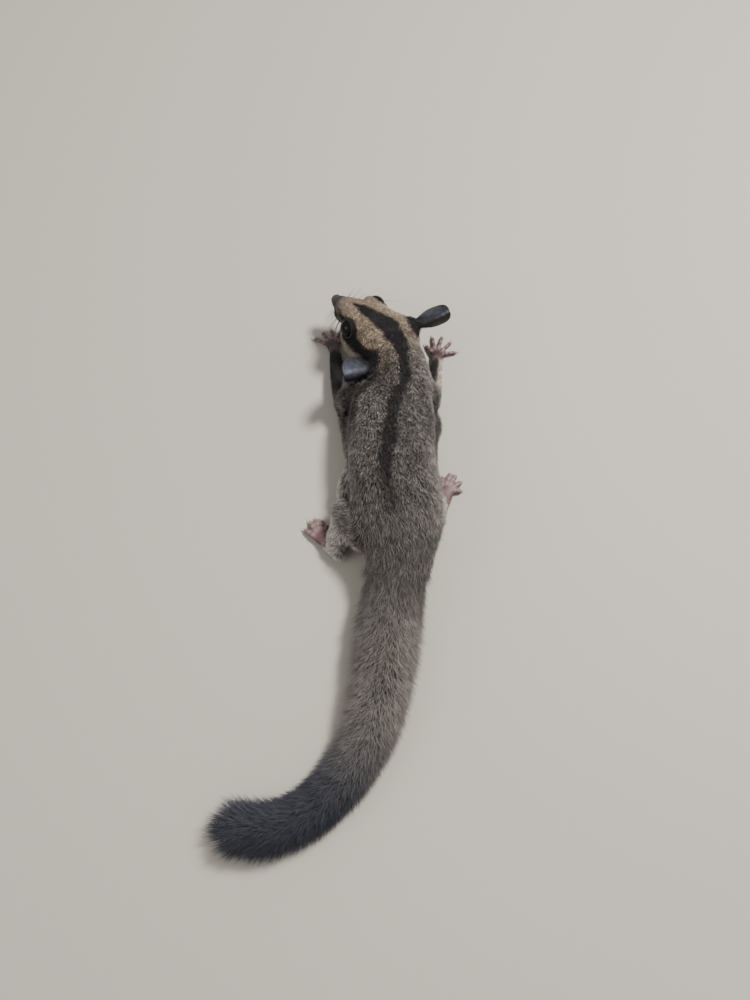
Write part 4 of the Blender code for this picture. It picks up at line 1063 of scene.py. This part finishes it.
    # The light plays over the pelt as a whole, so a tuft is shaded partly by the skin's slope at its root.
    facing = add_node(tree, "GeometryNodeInputNormal")
    slope = add_node(tree, "ShaderNodeMix", {0: given["Softness"], 4: facing, 5: carried["pelt"]},
                     data_type="VECTOR")
    last = add_node(tree, "GeometryNodeSetMeshNormal", {0: laid, 1: slope.outputs[1]}, mode="FREE",
                    domain="POINT")
    for name in (*carried, "mouth"):
        last = add_node(tree, "GeometryNodeRemoveAttribute", {0: last, "Name": name})
    last = add_node(tree, "GeometryNodeSetMaterial", {0: last, "Material": given["Hair"]})
    add_node(tree, "NodeGroupOutput", {0: last})
    return tree


def hair_material():
    """Soft keratin hair: matt and dark at the root, with a dull silky gloss and pale ticking at its tip."""
    made, tree, shader = new_material("glider_hair")
    tip = add_node(tree, "ShaderNodeAttribute", attribute_name="tip").outputs["Fac"]
    late = add_node(tree, "ShaderNodeMapRange", {0: tip, 1: 0.3, 2: 0.95}, interpolation_type="SMOOTHSTEP")
    chance = add_node(tree, "ShaderNodeAttribute", attribute_name="chance").outputs["Fac"]
    bright = add_node(tree, "ShaderNodeMath", {0: chance, 1: 1.6}, operation="POWER")
    bright = add_node(tree, "ShaderNodeMath", {0: bright, 1: 1.6, 2: 0.42}, operation="MULTIPLY_ADD")
    bright = add_node(tree, "ShaderNodeCombineColor", {0: bright, 1: bright, 2: bright})
    tone = overlaid(tree, coat_tone(tree, late), (1.0, bright, "MULTIPLY"))
    give(tree, shader, {"Base Color": tone, "Roughness": 0.6, "Specular IOR Level": 0.3})
    return made


hair = hair_material()
grow = coat_tree()
short_tufts = tuft_collection("tuft", TUFTS, thickness=0.1)
long_tufts = tuft_collection("long_tuft", LONG_TUFTS, thickness=0.03)
FIRST_SEED = 100
GROWTH = {  # piece: tufts, yaw spread, clump size in mm, clump pull, softness, ticking
    "coat_face": (short_tufts, 0.45, 0.7, 0.15, 0.25, 1.6),
    "coat_crown": (short_tufts, 0.6, 0.9, 0.3, 0.25, 1.6),
    "coat_neck": (short_tufts, 0.65, 1.3, 0.7, 0.25, 1.5),
    "coat_shoulders": (short_tufts, 0.65, 1.3, 0.8, 0.25, 1.55),
    "coat_back": (short_tufts, 0.6, 1.4, 0.8, 0.25, 1.5),
    "coat_rump": (short_tufts, 0.6, 1.4, 0.5, 0.35, 1.1),
    "coat_tail_root": (long_tufts, 0.7, 1.5, 0.4, 0.4, 1.0),
    "coat_tail_base": (long_tufts, 0.7, 1.5, 0.4, 0.45, 0.9),
    "coat_tail_upper": (long_tufts, 0.7, 1.5, 0.4, 0.45, 0.8),
    "coat_tail_lower": (long_tufts, 0.65, 1.5, 0.4, 0.45, 0.7),
    "coat_tail_tip": (long_tufts, 0.6, 1.5, 0.4, 0.45, 0.5),
    "coat_forelegs": (short_tufts, 0.3, 1.1, 0.5, 0.3, 1.0),
    "coat_hindlegs": (short_tufts, 0.4, 1.2, 0.5, 0.3, 1.1),
    "coat_flanks": (short_tufts, 0.45, 1.3, 0.6, 0.3, 1.2),
}


def grow_coat(name, surface, number, tufts, yaw, clump, pull, softness, ticking):
    """Grows one coat piece on the surface's patch of that number."""
    piece = new_object(name, surface)
    growth = piece.modifiers.new("grow", "NODES")
    growth.node_group = grow
    wanted = {
        "Tufts": tufts, "Patch": number, "Crowding": 1.0, "Seed": FIRST_SEED + number, "Yaw Spread": yaw,
        "Clump Size": clump * MM, "Clump Pull": pull, "Softness": softness, "Ticking": ticking,
        "Unevenness": 0.65 if tufts == long_tufts else 0.38, "Floor Margin": FLOOR_MARGIN, "Hair": hair,
    }
    for item in grow.interface.items_tree:
        if item.item_type == "SOCKET" and item.in_out == "INPUT" and item.name in wanted:
            growth[item.identifier] = wanted[item.name]
    applied(piece)
    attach(piece, "root")


for number, name in enumerate(COAT_PATCHES):
    grow_coat(name, skin.data, number, *GROWTH[name])

# The eyes. Large round globes under a clear wet cornea, so dark that only its shine tells them from the fur
# round them. Each sits in the hollow that was cut for it in the skin, inside its ring of lids.


def eye_material():
    """A wet eye: a near black brown globe under a clear glossy cornea."""
    made, tree, shader = new_material("wet_eye")
    give(tree, shader, {"Base Color": linear("#0C0909"), "Roughness": 0.04, "Specular IOR Level": 0.14})
    return made


wet_eye = eye_material()
for side, sign in (("left", -1), ("right", 1)):
    bm = bmesh.new()
    add_ball(bm, eye_at(sign)[0], Vector((1, 1, 1)) * EYE_RADIUS, HEAD_PLACE)
    globe = as_object("eyeball_" + side, bm)
    globe.data.shade_smooth()
    globe.data.materials.append(wet_eye)
    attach(globe, "root")
    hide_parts("eye_" + side)

# The ears. Thin bare leaves of skin that face forwards, rolled into a cup at the root and folded along the
# middle, so that their front halves catch the light and their rear halves turn away from it. Painted shade
# darkens the skin of their rear halves, of the right ear's tip and of the cup at the root. They look
# blue-grey with a dull shine, cross-ridged, and short dark fur climbs the back of their roots.
EAR_LENGTH = 20.5 * MM
EAR_THICKNESS = 0.5 * MM
# From root to tip: share of the length, half width laid flat in mm, half angle of the roll.
EAR = ((0.0, 3.6, 2.1), (0.12, 5.6, 1.7), (0.28, 7.7, 1.35), (0.46, 8.5, 1.15), (0.62, 8.1, 1.05),
       (0.76, 7.0, 0.95), (0.87, 5.5, 0.8), (0.95, 3.7, 0.6), (0.985, 2.3, 0.45), (1.0, 1.1, 0.35))
# Root, reach and the way the hollow faces in the head's frame, the sign of the rear edge, the fold, where
# across the ear the painted shade on its rear part starts, how dark that painted shade is, and how dark the
# painted shade on the tip is.
EAR_POSES = {
    "left": ((-12.8, -7.6, 4.5), (-0.88, 0.22, 0.34), (0.21, 0.64, -0.75), 1, 1.2, 0.1, 0.4, 0.1),
    "right": ((10.0, -4.2, 6.0), (0.80, -0.50, 0.34), (0.33, 0.33, -0.88), -1, 1.3, -0.3, 1.0, 0.7),
}


def ear_section(half, roll, rear, columns):
    """Offsets across and into the hollow over the ear's breadth: a gentle curve, then a fold to the rear."""
    across, inward = [0.0], [0.0]
    for j in range(columns):
        s = rear * (2 * (j + 0.5) / columns - 1)
        angle = rear * roll * (0.35 * s + 0.65 * math.tanh((s - 0.2) / 0.22))
        across.append(across[-1] + math.cos(angle) * 2 * half / columns)
        inward.append(inward[-1] + math.sin(angle) * 2 * half / columns)
    middle = columns // 2
    return [a - across[middle] for a in across], [i - inward[middle] for i in inward]


def make_ear(side, root, reach, hollow, rear, fold, painted_shade_from, painted_rear_shade, painted_tip_shade):
    """One ear as a walled sheet, the way it reaches and the way its hollow faces."""
    turn = HEAD_PLACE.to_3x3()
    place = HEAD_PLACE @ (Vector(root) * MM)
    along = (turn @ Vector(reach)).normalized()
    face = turn @ Vector(hollow)
    face = (face - along * face.dot(along)).normalized()
    across = along.cross(face)
    columns = 32
    bm = bmesh.new()
    painted_cup_shade, outwards, dark = (bm.verts.layers.float.new(name) for name in ("hollow", "reach", "dark"))
    grid = []
    for t, half, roll in smooth_path([Vector(row) for row in EAR], 5):
        wide, deep = ear_section(half * MM, roll * fold, rear, columns)
        spine = along * (EAR_LENGTH * t) - face * (2.4 * MM * (t - t * t) * 2)
        row = []
        for j in range(columns + 1):
            u = 2 * j / columns - 1
            ridge = 0.6 * math.sin(t * 46 + 1.4 * math.sin(u * 4) + 0.8 * math.sin(t * 13))
            ridge += math.sin(u * 9 + 2.2 * math.sin(t * 5) + 0.7) + 0.5 * math.sin(u * 17 + t * 11)
            ridge *= 0.07 * MM * smoothstep(1.0, 0.6, abs(u)) * within(t, 0.1, 0.3, 0.85, 1.0)
            row.append(bm.verts.new(place + spine + across * wide[j] + face * (deep[j] + ridge)))
            # Painted shade deep in the cup at the root, fading towards the tip.
            row[-1][painted_cup_shade] = max(0.0, (1 - 1.1 * t) * (1 - 0.6 * abs(u)))
            row[-1][outwards] = t
            # Painted shade over the rear part beyond the fold and on the tip.
            row[-1][dark] = max(painted_rear_shade * smoothstep(painted_shade_from, painted_shade_from + 0.45, u * rear),
                                painted_tip_shade * smoothstep(0.66, 0.92, t))
        grid.append(row)
    bridge(bm, grid, closed=False)
    ear = as_object("ear_cup_" + side, bm)
    wall = ear.modifiers.new("wall", "SOLIDIFY")
    wall.thickness = EAR_THICKNESS
    wall.offset = 0
    rounder = ear.modifiers.new("round", "SUBSURF")
    rounder.levels = rounder.render_levels = 1
    return applied(ear), along, face


def ear_fur(side, ear, along, face):
    """Short dark fur on the outside of the ear's root."""
    co, normals = places(ear.data)
    mesh = ear.data.copy()
    reach = np.zeros(len(co))
    mesh.attributes["reach"].data.foreach_get("value", reach)
    outside = smoothstep(0.0, 0.3, normals @ -np.array(face))
    lie = np.array(along)[None, :] - normals * (normals @ np.array(along))[:, None]
    set_attribute(mesh, "crowd", 9e6 * smoothstep(0.42, 0.12, reach) * outside)
    set_attribute(mesh, "lie", lie, "FLOAT_VECTOR")
    for name, value in (("run", 2.6 * MM), ("rise", 0.8 * MM), ("breadth", 0.24 * MM), ("eye_patch", 1)):
        set_attribute(mesh, name, np.full(len(co), value))
    set_attribute(mesh, "patch", np.zeros(len(mesh.polygons)), "INT", "FACE")
    corners = np.zeros(len(mesh.loops), int)
    mesh.loops.foreach_get("vertex_index", corners)
    off = (co - co.mean(axis=0)) @ np.cross(along, face) / EAR_LENGTH + 0.5
    unwrap = np.stack([reach[corners], off[corners]], axis=1) * 0.98
    set_attribute(mesh, "unwrap", unwrap, "FLOAT2", "CORNER")
    grow_coat("coat_ear_" + side, mesh, 0, short_tufts,
              yaw=0.3, clump=1.0, pull=0.4, softness=0.4, ticking=0.8)


def ear_material():
    """Bare ear skin: blue-grey, thin, with a dull satin shine and fine veins, and painted shade over its
    rear part, the right ear's tip and the cup at its root.
    """
    made, tree, shader = new_material("bare_ear_skin")
    where = add_node(tree, "ShaderNodeTexCoord").outputs["Object"]
    mottle = add_node(tree, "ShaderNodeTexNoise", {"Vector": where, "Scale": 1 / (2.2 * MM), "Detail": 6.0})
    patches = add_node(tree, "ShaderNodeMapRange", {0: mottle, 1: 0.35, 2: 0.65})
    # The painted shade: near black over the rear part and the tip, and darker in the cup at the root.
    tone = overlaid(tree, "#1E1F26", (patches, "#333541"), ("dark", "#0B0909"), ("hollow", "#141216"))
    grain = add_node(tree, "ShaderNodeTexNoise", {"Vector": where, "Scale": 1 / (0.35 * MM), "Detail": 3.0})
    bump = add_node(tree, "ShaderNodeBump", {"Height": grain, "Distance": 0.12 * MM, "Strength": 0.6})
    give(tree, shader, {"Base Color": tone, "Normal": bump, "Roughness": 0.5, "Specular IOR Level": 0.35})
    return made


ear_skin = ear_material()
for side, pose in EAR_POSES.items():
    ear, ear_along, ear_face = make_ear(side, *pose)
    ear_fur(side, ear, ear_along, ear_face)
    ear.data.shade_smooth()
    ear.data.materials.append(ear_skin)
    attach(ear, "root")
    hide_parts("ear_" + side)
for home in (short_tufts, long_tufts):
    for obj in list(home.objects):
        bpy.data.objects.remove(obj)
    bpy.data.collections.remove(home)

# The nose. A small bare pad of pebbled skin at the muzzle's tip, purple-grey and slightly moist, with two
# nostrils that open sideways.
NOSE_SIZE = Vector((2.6, 2.2, 2.05)) * MM


def make_nose():
    bm = bmesh.new()
    add_ball(bm, NOSE_CENTRE, NOSE_SIZE)
    nose = as_object("nose_pad", bm)
    pits = bmesh.new()
    for sign in (-1, 1):
        add_ball(pits, NOSE_CENTRE + Vector((sign * 1.35, 1.5, -0.2)) * MM, Vector((0.62, 1.0, 0.48)) * MM)
    cut_by(nose, pits)
    nose.data.transform(HEAD_PLACE)
    nose.data.materials.clear()
    nose.data.shade_smooth()
    return nose


def nose_material():
    """Moist nose leather: purple-grey and pebbled, with a soft wet shine."""
    made, tree, shader = new_material("nose_leather")
    where = add_node(tree, "ShaderNodeTexCoord").outputs["Object"]
    pebbles = add_node(tree, "ShaderNodeTexVoronoi", {"Vector": where, "Scale": 1 / (0.28 * MM)})
    tone = overlaid(tree, "#43353A", (pebbles, "#1C1619"))
    bump = add_node(tree, "ShaderNodeBump", {"Height": pebbles, "Distance": 0.06 * MM, "Strength": 0.6})
    give(tree, shader, {"Base Color": tone, "Normal": bump, "Roughness": 0.35})
    return made


nose_pad = make_nose()
nose_pad.data.materials.append(nose_material())
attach(nose_pad, "root")
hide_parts("nose")

# The claws. Small sharp hooks of smooth horn, mottled pale and brown, one to each digit. They grow out of
# the digits' ends and reach down to the floor.
def make_claws():
    bm = bmesh.new()
    for paw, (*_, thick) in PAWS.items():
        for _, end, way in digit_ends(paw)[0]:
            start = end + way * (thick * 0.6 * MM)
            start.z = thick * 1.3 * MM
            points, sizes = [], []
            for i in range(7):
                t = i / 6
                point = start + way * (CLAW_LENGTH * 0.8 * (t - 0.15))
                point.z += (0.35 * math.sin(t * 2.4) - 0.95 * t * t) * MM
                points.append(point)
                sizes.append((0.5 * (1 - t) ** 0.8 + 0.03) * MM)
            add_tube(bm, points, [s * 0.75 for s in sizes], sizes, sides=8, domed=False)
    return as_object("claws", bm)


def claw_material():
    """Horn: brown mottled with pale, with a low shine."""
    made, tree, shader = new_material("claw_horn")
    where = add_node(tree, "ShaderNodeTexCoord").outputs["Object"]
    noise = add_node(tree, "ShaderNodeTexNoise", {"Vector": where, "Scale": 1 / (0.8 * MM), "Detail": 2.0})
    tone = overlaid(tree, "#54463F", (noise, "#CDBDB2"))
    give(tree, shader, {"Base Color": tone, "Roughness": 0.5})
    return made


claws = make_claws()
claws.data.shade_smooth()
claws.data.materials.append(claw_material())
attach(claws, "root")

# The whiskers. Fine stiff dark hairs, tapered to a point, rooted in rows on each side of the muzzle and
# swept out and back.
WHISKER_RADIUS = 0.09 * MM
WHISKER_ROWS, WHISKER_COLUMNS, WHISKER_SEED = 4, 5, 21


def make_whiskers():
    draw = random.Random(WHISKER_SEED)
    bm = bmesh.new()
    for sign in (-1, 1):
        for row in range(WHISKER_ROWS):
            for column in range(WHISKER_COLUMNS):
                root = Vector((sign * (3.6 + 0.5 * column), 26.6 - 1.5 * column, -4.0 - 0.8 * row)) * MM
                length = (9 + 2.6 * column - 0.8 * row + draw.uniform(-1, 1)) * MM
                way = Vector((sign * (0.9 + draw.uniform(-0.1, 0.1)), 0.45 - 0.22 * column,
                              0.30 - 0.2 * row + draw.uniform(-0.1, 0.1))).normalized()
                points, sizes = [], []
                for i in range(6):
                    t = i / 5
                    bend = Vector((0, -0.3, -0.12)) * (length * t * t)
                    points.append(HEAD_PLACE @ (root + way * (length * t) + bend))
                    sizes.append(WHISKER_RADIUS * (1 - 0.85 * t))
                add_tube(bm, points, sizes, sizes, sides=4, domed=False)
    return as_object("whiskers", bm)


def whisker_material():
    """Whisker horn: dark brown and smooth, with a thin glint."""
    made, tree, shader = new_material("whisker_hair")
    give(tree, shader, {"Base Color": linear("#221C1A"), "Roughness": 0.4})
    return made


whiskers = make_whiskers()
whiskers.data.materials.append(whisker_material())
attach(whiskers, "root")

# The studio. A plain matt floor of pale paper that runs out of view, a broad soft light high on the animal's
# right, and a weaker one to fill the shadows. None of it is part of the animal.


def studio():
    bm = bmesh.new()
    bmesh.ops.create_grid(bm, x_segments=1, y_segments=1, size=12.0)
    floor = as_object("studio_floor", bm)
    paper, tree, shader = new_material("matt_paper")  # an even, pale, dull ground
    give(tree, shader, {"Base Color": linear("#A09A8E"), "Roughness": 0.7})
    floor.data.materials.append(paper)
    world = bpy.data.worlds.new("studio_air")
    world.use_nodes = True
    sky = world.node_tree.nodes["Background"]
    give(world.node_tree, sky, {"Color": (0.92, 0.93, 0.96, 1), "Strength": 0.65})
    bpy.context.scene.world = world
    middle = Vector((13.5, 20, 10)) * MM
    for name, offset, size, watts in (
        ("key", (0.45, 0.30, 0.85), 0.2, 20.0),
        ("fill", (-0.7, -0.3, 0.6), 0.6, 3.0),
    ):
        light = bpy.data.lights.new(name, "AREA")
        light.shape = "DISK"
        light.size = size
        light.energy = watts
        lamp = new_object(name, light)
        lamp.location = middle + Vector(offset)
        lamp.rotation_euler = (-Vector(offset)).to_track_quat("-Z", "Y").to_euler()


def camera():
    """Looks down on the animal from behind, as the photograph does."""
    lens = bpy.data.cameras.new("view")
    lens.sensor_width = 36
    lens.lens = 39.6
    lens.clip_start = 0.01
    eye = new_object("view", lens)
    steep = math.radians(68)
    ahead = Vector((0, math.cos(steep), -math.sin(steep)))
    looked_at, distance = Vector((13.5, 29.5, 0)) * MM, 0.5
    eye.location = looked_at - ahead * distance
    eye.rotation_euler = ahead.to_track_quat("-Z", "Y").to_euler()
    bpy.context.scene.camera = eye


studio()
camera()
